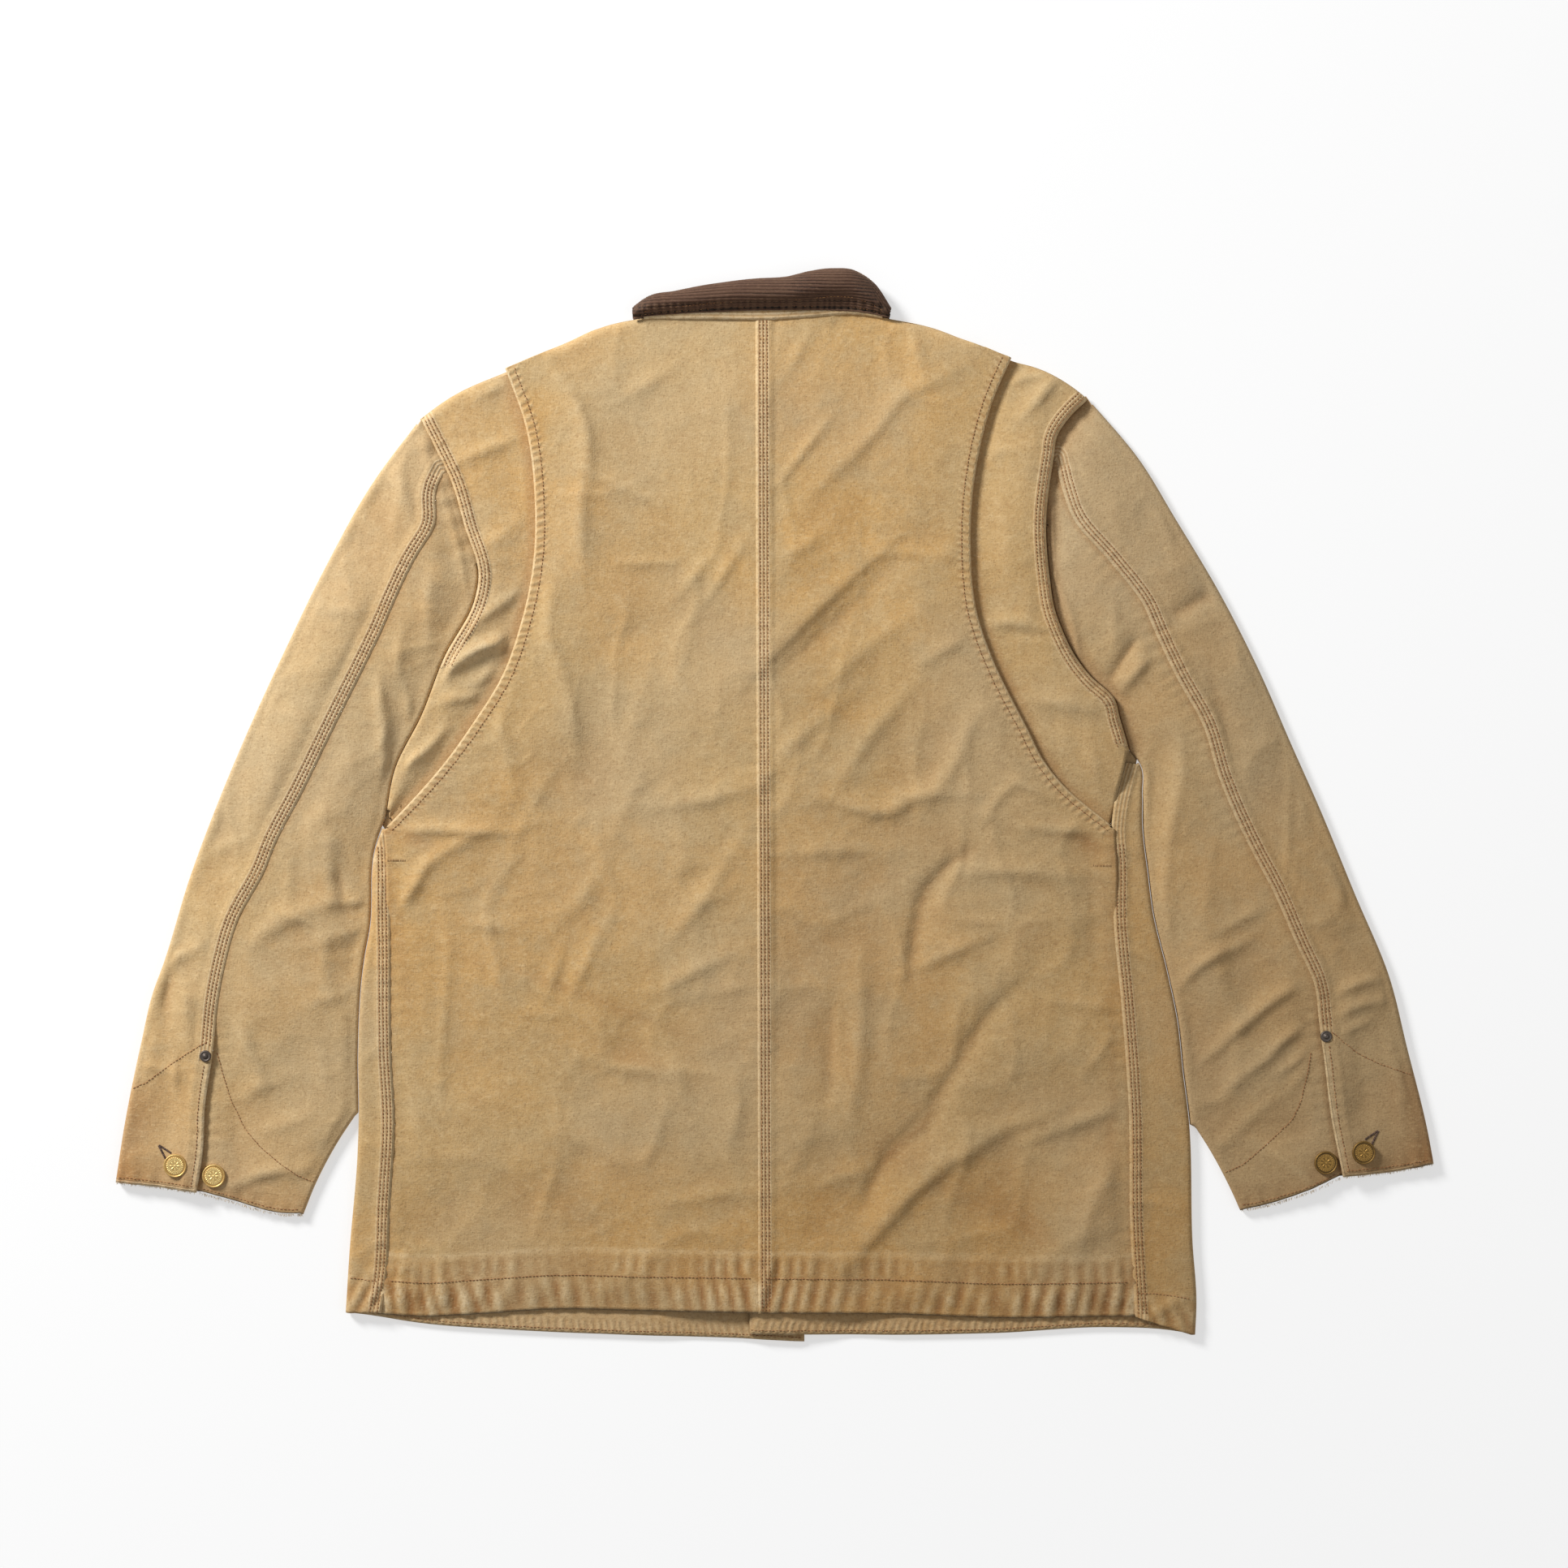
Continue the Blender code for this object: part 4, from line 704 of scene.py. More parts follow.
# Width and length of the part that comes round the side.
STRIP = (40.0, 323.75)
SIDE_FOLD = {
    "left": ((-9.5, -297), (-29, -304), (-94, -309), (-116, -313), (-190.5, -318), (-234.5, -317.5),
        (-266, -318.5), (-339, -324.5), (-386.5, -327.5)),
    "right": ((42, 270.5), (33, 278), (8.5, 280.5), (-13.5, 280.5), (-53.5, 285), (-80.5, 288.5),
        (-126.5, 299.5), (-165, 307.5), (-202.5, 311.5), (-238, 316), (-333, 319), (-380, 322),
        (-403.5, 321)),
}
FRONT_HEM = {
    "left": ((-327.5, -386.5), (-310.5, -388.5), (-272.5, -394.5), (-201, -400), (-122.5, -403.5),
        (-27.5, -406.5), (22.5, -409)),
    "right": ((321, -403.5), (300, -400), (256, -398), (169, -402.5), (127.5, -403.5), (-19, -403)),
}
STRIP_FOLDS = {
    "left": ((-300, -60, -312, -92, 5, 5, 0.8, 2), (-300, -180, -318, -196, 6, 5, 0.7, 1),
        (-296, -262, -320, -252, 6, 6, 0.9, 1), (-300, -330, -322, -345, 6, 6, 0.8, 1)),
    "right": ((262, -30, 284, -44, 6, 6, 1, 2), (270, -110, 292, -122, 6, 5, 0.9, 1),
        (280, -205, 312, -232, 8, 7, 1, 3), (276, -300, 316, -312, 7, 7, 0.9, 2),
        (286, -392, 306, -378, 5, 6, 1.6, 2)),
}


def scoop(x):
    half = np.where(x < CLOSING_X, CLOSING_X - NECK_X["left"], NECK_X["right"] - CLOSING_X)
    return NECK_Y - NECK_DROP * np.sqrt(np.clip(1 - ((x - CLOSING_X) / half) ** 2, 0, 1))


def front_hem_line(side):
    return all_across(FRONT_HEM[side], 60)


def front_top(side, drop=0.0):
    """A front's upper edge: round the neck from the closing, then along the shoulder."""
    edge = FRONT_EDGE[side]
    places = edge + (NECK_X[side] - edge) * np.sin(np.linspace(0, math.pi / 2, 25))
    neck = np.stack([places, scoop(places)], axis=-1)
    shoulder = shoulder_line(side, NECK_X[side], ARMHOLE[side][0][1], 25)
    return np.concatenate([neck[:-1], shoulder - np.array([0.0, drop])])


def fold_radius(points, side):
    """Radius of the fold at the coat's side: tight under the arm, rounder below."""
    return 1.3 + 1.4 * ease((SIDE_FOLD[side][0][0] - points[..., 1] - 10.0) / 40.0)


def strip_level(points, side):
    """Level of the strip that comes round the side, and its marks."""
    to_seam, on_seam = nearest(points, all_down(SIDE_SEAM[side], 80))
    to_fold = nearest(points, all_down(SIDE_FOLD[side], 80))[0]
    height = FLOOR_LEVEL + 2 * fold_radius(points, side)
    rise, crest = folds(points, STRIP_FOLDS[side])
    height = height + rise * ease((to_fold - 2.0) / 6.0) + lapped(to_seam, 0.9, 9.5)
    height += puckers(on_seam, to_seam - 5.0, 11.0, 8.0, 0.28, 43)
    below = points[..., 1] - SIDE_FOLD[side][-1][0]
    wave = puckers(to_seam + 0.4 * below, below - 13.0, 11.0, 14.0, 0.9, 45)
    height += wave
    height += 0.35 * crumple(points, 81, 0.6) * ease((to_fold - 3.0) / 6.0)
    line = bell(below - 27.5, 2.0)
    # Painted shade in fold and pucker troughs and painted highlight on pucker crests; browner near the hem,
    # and pale wear along the side fold.
    marks = {"away": to_seam, "along": on_seam, "rucked": 0.3,
             "wear_and_highlight": np.clip(0.2 * bell(to_fold, 2.5) + 0.2 * line + 0.6 * wave, 0, 1),
             "grime_and_shade": np.clip(0.25 * ease(1 - below / 30.0) - 0.13 * crest - 0.5 * wave, 0, 1),
             "tone": np.clip(0.3 + 0.4 * uneven(points, 60.0, 55), 0, 1)}
    return height, marks


def front_level(points, side):
    """Level of a front's sheet on the surface: it rises over the closing's buttons and the other front."""
    x = points[..., 0]
    height = FLOOR_LEVEL + (CLOSING_BUTTON_HEIGHT + 0.3) * ease(1 - (np.abs(x - CLOSING_X) - 11.0) / 15.0)
    if side == "right":
        height = height + 3.0 * ease((59.5 - x) / 34.0)
    to_hem, on_hem = nearest(points, front_hem_line(side))
    height = height + 1.1 * ease(1 - (to_hem - 12.0) / 10.0) * ease((np.abs(x) - 62.0) / 30.0)
    height += puckers(on_hem, to_hem - 10.0, 9.0, 14.0, 0.35, 49) * ease(to_hem / 4.0)
    return height + 0.35 * ease(1 - (to_hem - 4.0) / 2.0), to_hem, on_hem


def front(side):
    inward = INWARD[side]
    arm_rows, side_rows = 60, 200
    arm = armhole_line(side, arm_rows + 1)
    outline = np.concatenate([arm, all_down(SIDE_FOLD[side], side_rows + 1)[1:]])
    rows = len(outline)
    folded = np.arange(rows) > arm_rows + 3
    radius = fold_radius(outline, side)
    start = moved(outline, inward * (radius + CLOTH / 2))
    far = moved(outline, inward * np.where(folded, radius + CLOTH / 2, -0.5))
    u = spread((14.0, 3.5), (316.0, 9.0), (16.0, 4.0))
    top = front_top(side, 0.9)
    hem = picked(across(FRONT_HEM[side], FRONT_EDGE[side], far[-1, 0], 60), u)
    hem[-1] = far[-1]
    near = np.linspace(top[0], hem[0], rows)
    sheet = patch(near, far, picked(top, u), hem, u, np.linspace(0, 1, rows))
    height, to_hem, on_hem = front_level(sheet, side)
    y = np.maximum(outline[:, 1], SIDE_SEAM[side][-1][0])
    seam = np.stack([through(SIDE_SEAM[side], y), y], axis=-1)
    share = np.linspace(0, 1, 13)[None, :, None]
    strip = start[:, None] * (1 - share) + seam[:, None] * share
    strip_height, marks = strip_level(strip, side)
    bend = half_turn(outline, inward, strip_height[:, 0], FLOOR_LEVEL, 7)[:, ::-1]
    points = np.concatenate([raised(sheet, height), bend, raised(strip, strip_height)], axis=1)
    kept = np.ones(points.shape[:2], dtype=bool)
    kept[:, len(u):] = folded[:, None]
    marks = carried(marks, len(u) + bend.shape[1], 0)
    for key, value in (("away", np.minimum(to_hem, 30.0)), ("along", on_hem), ("rucked", 1.0),
                       ("wear_and_highlight", 0.3), ("grime_and_shade", 0.2)):
        marks[key][:, :len(u)] = value
    cloth("front_panel_" + side, "front_" + side, points, marks, (), kept, len(u), STRIP)


for side in ("left", "right"):
    front(side)

# The sleeves.
# Two-piece canvas sleeves lying flat. The top part laps over the under part down the back of the arm, and
# below the rivet that seam is left open as the cuff's slit, with a facing sewn behind it.
SLEEVE_LEVELS, ARM_LEVEL = {"top": 6.4, "under": 5.0}, 5.0
SLEEVE_SEAM_LEVEL, SLIT_LAP, SLIT_RISE, SLEEVE_ROWS = 6.0, 10.0, 2.6, 262
# Level on the armhole at which the under part starts.
UNDER_START = {"left": 186.5, "right": 214.5}
RIVETS = {"left": (-433.5, -190.5), "right": (420.0, -175.5)}
CUFF_BUTTONS = {
    "left": {"outer": (-456.5, -274.0), "inner": (-427.5, -282.0)},
    "right": {"outer": (448.5, -264.0), "inner": (420.0, -272.0)},
}
SLEEVE_OUTER = {
    "left": ((295.5, -270.5), (248.5, -305.5), (184, -342), (120.5, -373), (58.5, -401.5), (7.5, -423),
        (-53.5, -446), (-123, -467.5), (-140.5, -474), (-180.5, -483.5), (-247.5, -497), (-287, -503)),
    "right": ((310.5, 239.5), (266, 277), (219, 306), (161, 340.5), (106, 368.5), (45.5, 395), (0.5, 415),
        (-67.5, 443), (-130, 469), (-183.5, 482.5), (-251, 499), (-273, 503)),
}
SLEEVE_SEAM = {
    "left": ((255.5, -252), (244, -257.5), (212, -260), (189.5, -273.5), (125, -303.5), (58.5, -336.5),
        (9.5, -360.5), (-27.5, -380), (-50, -389), (-87, -409), (-121.5, -419), (-154.5, -425),
        (-185.5, -428), (-227, -434), (-266, -436), (-294.5, -440.5)),
    "right": ((264.5, 214.5), (242.5, 219.5), (217, 229), (185.5, 256), (152, 281.5), (134.5, 289),
        (98.5, 306), (61, 326.5), (23, 338), (-27.5, 360), (-65.5, 380), (-105.5, 397.5), (-137, 411.5),
        (-165, 415), (-194, 419), (-236, 424), (-282.5, 433)),
}
SLEEVE_INNER = {
    "left": ((-234.5, -318.5), (-256.5, -333), (-288.5, -350), (-312, -359.5)),
    "right": ((-243.5, 319.5), (-261.5, 331), (-294.5, 348.5), (-309, 355)),
}
CUFF = {
    "left": ((-503, -287), (-462, -291.5), (-441, -294.5)),
    "right": ((503, -273), (475, -278.5), (433.5, -282.5)),
}
UNDER_CUFF = {
    "left": ((-440, -295), (-419.5, -300.5), (-375, -312), (-359.5, -312)),
    "right": ((432.5, -283.5), (416.5, -291), (377.5, -304.5), (355, -309)),
}
LOWER_LAYER_DROP = {"left": 1.0, "right": 6.0}
SLEEVE_CROWN, ARM_DIP = 4.2, {"left": 0.3, "right": 1.8}
# How much higher the cloth stands under a cuff button.
BUTTON_MOUND = {"top": 1.15, "under": 0.85}
SLEEVE_FOLDS = {
    "left": ((-292, 262, -277, 218, 7, 12, 2.3, 2), (-287, 146, -287, 103, 7, 8, 2.1, 0),
        (-304, 101, -298, 60, 6, 10, 2.4, 0), (-298, 60, -294, 21, 6, 10, 2.6, -2),
        (-282, 88, -277, 65, 6, 6, 1.8, 0), (-268, 188, -264, 120, 12, 10, 1.9, 2),
        (-342, 150, -316, 147, 9, 8, 1.2, 0), (-362, 2, -352, -27, 12, 10, 1.4, 0),
        (-342, -15, -338, -56, 10, 12, 2.3, 2), (-334, -48, -329, -73, 8, 5, -2.2, 0),
        (-330, -74, -305, -73, 9, 5, 2.3, 0), (-400, -104, -349, -78, 14, 10, 2.8, 3),
        (-349, -104, -311, -92, 11, 7, 2.1, 0), (-371, -40, -370, -72, 6, 8, 1.4, 0),
        (-420, -158, -400, -186, 6, 8, 1.7, 3), (-400, -186, -391, -217, 6, 10, 1.8, 2),
        (-404, -222, -380, -211, 9, 6, 1.6, 2), (-388, -248, -365, -240, 8, 6, 1.3, 0),
        (-406, -288, -365, -279, 10, 6, 2.6, 4), (-346, -194, -341, -215, 8, 8, 1.3, 0),
        (-475, -128, -446, -111, 9, 8, 3, 2), (-463, -130, -464, -170, 11, 10, -2.2, 0),
        (-457, -194, -457, -215, 5, 6, 2, 0), (-449, -140, -446, -176, 7, 8, 1.2, 0),
        (-436, -112, -428, -122, 5, 5, 1.6, 0), (-330, 230, -304, 208, 9, 11, 1.3, 3),
        (-380, 72, -356, 60, 9, 10, 1.2, 3), (-436, -40, -410, -28, 9, 10, 1.3, 3),
        (-350, -150, -330, -142, 8, 8, 1.1, 0)),
    "right": ((257, 97, 288, 139, 7, 6, -2.8, 2), (266, 91, 297, 118, 8, 7, 3.4, 3),
        (300, 142, 348, 167, 9, 10, -2.6, 2), (310, 52, 303, -10, 10, 12, 2.4, 2),
        (303, -10, 298, -93, 9, 10, 2.2, -2), (336, 82, 344, 53, 9, 7, -2, 0),
        (312, -134, 353, -107, 10, 6, 2.8, 4), (340, -94, 375, -76, 10, 8, 1.9, 0),
        (339, -185, 399, -136, 10, 6, 3, 3), (377, -191, 405, -169, 8, 5, 2.6, 3),
        (408, -182, 388, -201, 4, 4, 1.8, 2), (410, -184, 397, -213, 4, 4, 1.5, 2),
        (413, -186, 407, -223, 4, 4, 1.3, 1), (432, -158, 461, -149, 7, 6, 2.3, 2),
        (429, -143, 459, -132, 6, 7, 2.5, 2), (434, -172, 449, -165, 4, 5, 1.5, 0),
        (240, 286, 262, 262, 10, 9, 1.3, 3), (290, 226, 300, 200, 9, 9, 1.3, 3),
        (370, 110, 388, 76, 10, 10, 1.4, 3), (396, 20, 404, -14, 9, 9, 1.4, 2),
        (418, -40, 432, -78, 9, 9, 1.3, 2), (470, -190, 478, -246, 8, 9, 1.4, 3),
        (372, -262, 408, -287, 7, 9, 1.9, 3), (330, -40, 326, -84, 10, 10, 1.2, 2),
        (345, -218, 372, -196, 9, 7, 1.6, 2), (348, -252, 380, -226, 9, 7, 1.3, 2)),
}


# Folds that hug the armhole, with the hollow beside the right one.
ARM_FOLDS = {
    "left": ((-255, 244, -236, 168, 6, 6, 1.6, 2), (-268, 284, -263, 260, 5, 6, 2.2, 0)),
    "right": ((211.5, 240, 214, 176, 3.5, 3, 1.6, -1), (214, 174, 232, 112, 4, 3, 1.8, 3)),
}


def lengths(line):
    """Length of a line up to each of its points."""
    return np.concatenate([[0.0], np.cumsum(np.linalg.norm(np.diff(line, axis=0), axis=1))])


def evenly(line, count):
    """The same line with evenly spaced points."""
    run = lengths(line)
    at = np.linspace(0, run[-1], count)
    return np.stack([np.interp(at, run, line[:, k]) for k in range(line.shape[1])], axis=-1)


def sleeve_lines(side, count=SLEEVE_ROWS):
    """The sleeve's back seam, outer fold and inner fold, down the arm."""
    seam_rows, outer_rows, inner_rows = SLEEVE_SEAM[side], SLEEVE_OUTER[side], SLEEVE_INNER[side]
    armpit = ARMHOLE[side][-1][0]
    outer = down(outer_rows, outer_rows[0][0] - 4.0, outer_rows[-1][0], 160)
    inner = np.concatenate([down(ARMHOLE[side], UNDER_START[side], armpit, 60),
                            down(SIDE_FOLD[side], armpit, inner_rows[0][0], 80)[1:],
                            all_down(inner_rows, 30)[1:]])
    return [evenly(line, count) for line in (all_down(seam_rows, 160), outer, inner)]


def cuff_line(side, part):
    return all_across((CUFF if part == "top" else UNDER_CUFF)[side], 40)


def arm_dip(points, side):
    """How far the sleeve dips beside the armhole's turned edge."""
    return ARM_DIP[side] * ease(1 - nearest(points, armhole_line(side))[0] / 17.0)


def sleeve_level(points, side, part):
    """Level of a sleeve's upper sheet at plan points, and its marks of wear, grime, painted shade and painted
    highlight.
    """
    seam, outer, inner = sleeve_lines(side, 90)
    to_seam, on_seam = nearest(points, seam)
    to_outer, to_inner = nearest(points, outer)[0], nearest(points, inner)[0]
    to_edge = to_outer if part == "top" else to_inner
    to_cuff, on_cuff = nearest(points, cuff_line(side, part))
    arm = down(ARMHOLE[side], ARMHOLE[side][0][0], UNDER_START[side], 30)
    to_arm, on_arm = nearest(points, arm)
    inside = np.maximum(to_edge - (SLEEVE_LEVELS[part] - FLOOR_LEVEL) / 2 - CLOTH / 2, 0.0)
    share = ease(to_seam / (to_seam + inside + 1e-6))
    height = SLEEVE_SEAM_LEVEL + (SLEEVE_LEVELS[part] - SLEEVE_SEAM_LEVEL) * share
    full_arm = ease((points[..., 1] - RIVETS[side][1] + 8.0) / 60.0)
    height += SLEEVE_CROWN * ease(np.minimum(to_outer, to_inner) / 38.0) * full_arm
    rise, crest = folds(points, SLEEVE_FOLDS[side])
    clear = ease((to_seam - 8.0) / 16.0) * ease(inside / 8.0)
    tacked = np.min([np.hypot(points[..., 0] - x, points[..., 1] - y)
                     for x, y in CUFF_BUTTONS[side].values()], axis=0)
    rough = crumple(points, 91 if side == "left" else 101, 1.9) * ease((tacked - 7.0) / 24.0)
    height += (rise + rough) * clear + BUTTON_MOUND[part] * ease(1 - (tacked - 9.0) / 24.0)
    near_arm = ease(to_arm / 30.0)
    height = ARM_LEVEL + (height - ARM_LEVEL) * near_arm
    height += puckers(on_arm, to_arm - 2.0, 15.0, 14.0, 0.5, 61)
    height += folds(points, ARM_FOLDS[side])[0] * ease(to_arm / 3.0) - ease(1 - to_arm / 4.0)
    height -= arm_dip(points, side)
    height += puckers(on_seam, to_seam - 5.0, 10.5, 8.0, 0.3, 63)
    height += puckers(on_cuff, to_cuff - 5.0, 12.0, 8.0, 0.4, 65)
    band, pale = np.full_like(to_seam, 30.0), 0.0
    if part == "top":
        below = ease((RIVETS[side][1] + 30.0 - points[..., 1]) / 30.0)
        height += SLIT_RISE * below * ease((30.0 - to_seam) / 18.0) + lapped(to_seam)
        slit = points[..., 1] < RIVETS[side][1] - 5.0
        band = np.where(slit & (to_seam > 1.6), 30.0, to_seam)
        pale = 0.5 * slit * ease(1 - (to_seam - 3.0) / 4.0)
    away = np.minimum(band, np.where(to_cuff < 2.5, to_cuff, 30.0))
    # Painted shade on the under part beside the top part's lapping edge.
    groove = 0.0 if part == "top" else 0.7 * bell(to_seam - 1.0, 2.2)
    grimy = 0.55 * ease(1 - to_outer / 36.0) * ease((RIVETS[side][1] - 10.0 - points[..., 1]) / 30.0)
    # Painted shade beside the seam, in the dip by the armhole and in fold troughs; grime towards the cuffs
    # and on the cuff's outer fold; pale wear on the fold edges, the slit edge and the frayed cuff edge, with
    # painted highlight on fold crests.
    marks = {"away": away, "along": np.where(to_cuff < 2.5, on_cuff, on_seam), "rucked": 0.2,
             "wear_and_highlight": np.clip(0.06 * crest * clear + 0.2 * bell(to_edge, 4.0)
                             + pale + 0.8 * ease(1 - to_cuff / 2.4), 0, 1),
             "grime_and_shade": np.clip(0.5 * groove - (0.13 * crest + 0.08 * rough) * clear
                             + 0.3 * arm_dip(points, side) + 0.34 * ease(1 - to_cuff / 30.0) + grimy
                             + 0.1 * ease(1 - to_cuff / 110.0), 0, 1),
             "tone": np.clip((0.5 if side == "left" else 0.8) + 0.4 * uneven(points, 80.0, 57), 0, 1)}
    return height, marks


def sleeve(side, part):
    inward, top = INWARD[side], part == "top"
    seam, outer, inner = sleeve_lines(side)
    toward, edge = (inward, outer) if top else (-inward, moved(inner, -inward * 0.4))
    start = SLEEVE_SEAM[side][0][0]
    arm_levels = (SLEEVE_OUTER[side][0][0], start) if top else (start, UNDER_START[side])
    arm_end = moved(down(ARMHOLE[side], *arm_levels, 60), inward * 3.0)
    if top:
        arm_end = arm_end[::-1]
    lap = UNDERLAP + (SLIT_LAP - UNDERLAP) * ease((RIVETS[side][1] - seam[:, 1] - 5.0) / 25.0)
    near = moved(seam, toward * (0.0 if top else lap))
    from_arm = nearest(edge, armhole_line(side))[0]
    high = ARM_LEVEL + (SLEEVE_LEVELS[part] - ARM_LEVEL) * ease(from_arm / 30.0) - arm_dip(edge, side)
    far = moved(edge, toward * ((high - FLOOR_LEVEL) / 2 + CLOTH / 2))
    v = np.linspace(0, 1, len(seam))
    u = spread((14.0, 1.6), (50.0, 2.6), (8.0, 1.7))
    near[0], far[0] = arm_end[0], arm_end[-1]
    cuff_rows = (CUFF if top else UNDER_CUFF)[side]
    cuff = across(cuff_rows, near[-1, 0], far[-1, 0], 60)
    sheet = patch(near, far, picked(arm_end, u), picked(cuff, u), u, v)
    height, marks = sleeve_level(sheet, side, part)
    turn = half_turn(edge, toward, height[:, -1], FLOOR_LEVEL, 7)
    w = np.linspace(0, 1, 8)
    floor_cuff = picked(cuff, w) - np.array([0.0, LOWER_LAYER_DROP[side]]) * (1 - w[:, None]) * top
    seam[0] = arm_end[0]
    floor = patch(seam, far, picked(arm_end, w), floor_cuff, w, v)[:, ::-1]
    points = np.concatenate([raised(sheet, height), turn, raised(floor, FLOOR_LEVEL)], axis=1)
    marks = carried(marks, 0, points.shape[1] - len(u))
    cloth(part + "_sleeve_" + side + "_cloth", part + "_sleeve_" + side, points, marks)


for side in ("left", "right"):
    for part in ("top", "under"):
        sleeve(side, part)

# The collar.
# Dark brown corduroy over the roll at the neck, its wales running along it, with two topstitched rows
# near its lower edge. It is sewn to a canvas stand, which shows as a thin strip above the neck seam.
# Rows of x, the fall's lower edge, the roll's far edge and the roll's height.
COLLAR = (
    (-108, 371.5, 380, 12), (-98, 373, 387.5, 15), (-74.5, 375, 393, 17), (-43.5, 376.8, 398, 18.5),
    (-15, 377.8, 401, 19), (8.5, 378, 402.5, 20), (27, 378, 407, 21.5), (43.5, 377.6, 409, 22),
    (63, 376.6, 406.5, 20.5), (76, 374.6, 397, 17), (87.5, 372, 379.5, 12),
)
FALL_LEVEL, STAND_LEVEL, WALE_PITCH, WALE_HEIGHT, COLLAR_RETURN = 8.2, 6.4, 2.4, 0.85, 10.0
# How far the topstitched rows lie from the fall's lower edge.
COLLAR_SEWN = (2.2, 8.6)


def corduroy_finish():
    """Worn brown corduroy: painted shade between the wales, rubbed and dusty along their tops."""
    f = Finish("brown_corduroy", roughness=0.88)
    f.feed(f.shader, {"Sheen Weight": 0.35, "Sheen Roughness": 0.4, "Sheen Tint": linear(190, 160, 135)})
    dark, brown, dusty = linear(20, 12, 8), linear(84, 57, 41), linear(126, 96, 72)
    pile = f.noise(1.3, 3.0, (0.5, 1.0, 1.0), 2.0, 0.7)
    patchy = f.noise(16.0, 3.0, offset=4.0)
    # Painted shade between the wales and in the stitch grooves, in near-black brown.
    colour = f.mix(f.read("grime_and_shade").within(0.15, 0.95), brown, dark)
    colour = f.mix(pile.within(0.45, 0.75) * 0.45, colour, dusty)
    colour = f.mix(f.read("wear_and_highlight").within(0.0, 1.0) * patchy.within(0.3, 0.7) * 0.5, colour, dusty)
    return f.use(colour, pile + patchy * 0.4, depth=0.35, strength=0.8)


def collar_sections(x):
    low = through([(row[0], row[1]) for row in COLLAR], x)
    top = through([(row[0], row[2]) for row in COLLAR], x)
    peak = through([(row[0], row[3]) for row in COLLAR], x) - 1.0
    depth = np.minimum(0.45 * (top - low), 12.0)
    return low, top - 1.0 - depth, depth, peak


def neckline(x):
    """Highest edge of the fronts at places x, along their neckline and shoulders."""
    edges = []
    for side in ("left", "right"):
        line = front_top(side)
        line = line[np.argsort(line[:, 0])]
        edges.append(np.interp(x, line[:, 0], line[:, 1]))
    return np.maximum(*edges) + 0.7


def collar_surface(x, t):
    """Points on the collar's middle surface: t runs 0 to 1 up the fall, to 2 round the roll, then back."""
    low, middle, depth, peak = collar_sections(x)
    fall, roll = np.clip(t, 0, 1), np.clip(t - 1, 0, 1) * math.pi
    back = np.clip(t - 2, 0, 1)
    y = low + (middle - low) * fall + depth * np.sin(roll)
    z = FALL_LEVEL + (peak - FALL_LEVEL) * ease(fall) - (peak - FLOOR_LEVEL) / 2 * (1 - np.cos(roll))
    end = np.maximum(middle - COLLAR_RETURN, neckline(x.ravel()).reshape(x.shape))
    y = np.where(t > 2, middle + (end - middle) * back, y)
    return np.stack([x, y, np.where(t > 2, FLOOR_LEVEL, z)], axis=-1)


def normals(points):
    """Unit normals of a grid of points, up where the cloth lies face up."""
    a, b = np.gradient(points, axis=0), np.gradient(points, axis=1)
    n = np.cross(b, a)
    n /= np.linalg.norm(n, axis=-1, keepdims=True) + 1e-9
    return n * (1.0 if n[0, n.shape[1] // 2, 2] > 0 else -1.0)


def collar():
    x = np.linspace(COLLAR[0][0], COLLAR[-1][0], 108)
    t = np.concatenate([np.linspace(0, 1, 60)[:-1], np.linspace(1, 2, 110)[:-1], np.linspace(2, 3, 28)])
    points = collar_surface(*np.broadcast_arrays(x[None], t[:, None]))
    step = np.linalg.norm(np.diff(points, axis=0), axis=2)
    run = np.concatenate([np.zeros((1, len(x))), np.cumsum(step, axis=0)])
    wander = 0.35 * uneven(points, 26.0, 71)
    wale = 0.5 + 0.5 * np.cos(2 * math.pi * (run + wander) / WALE_PITCH)
    sewn = sum(bell(run - row, 0.9) for row in COLLAR_SEWN)
    ruck = sum(bell(run - row, 3.0) for row in COLLAR_SEWN)
    place = np.stack([points[..., 0], np.full_like(run, 3.0)], axis=-1)
    bumps = np.sin(2 * math.pi * points[..., 0] / 5.4 + 2.4 * uneven(place, 13.0, 73))
    swell = 0.9 * uneven(points, 34.0, 75) * ease(run / 12.0)
    lift = WALE_HEIGHT * (wale ** 0.7 - 0.5) * (1 - 0.6 * sewn) - 0.7 * sewn + 0.55 * ruck * bumps + swell
    lift *= ease((3.0 - t[:, None]) / 0.7)
    points = points + normals(points) * lift[..., None]
    points[..., 2] = np.maximum(points[..., 2], CLOTH / 2)
    # Painted shade in the valleys between the wales and in the stitch grooves; pale wear with painted
    # highlight on the puckers by the stitch rows, and pale along the lower edge.
    marks = {"grime_and_shade": np.clip(1 - wale + 0.8 * sewn, 0, 1),
             "wear_and_highlight": np.clip(0.35 + 0.9 * ruck * bumps + 0.5 * bell(run, 1.6), 0, 1)}
    for row in COLLAR_SEWN:
        k = int(np.argmin(np.abs(run[:, len(x) // 2] - row)))
        collar_rows.append(points[k, 3:-3] + np.array([0.0, 0.0, CLOTH / 2]))
    cloth("corduroy_collar", "collar", points, marks, ["collar_stand_strip"],
          finish=corduroy)


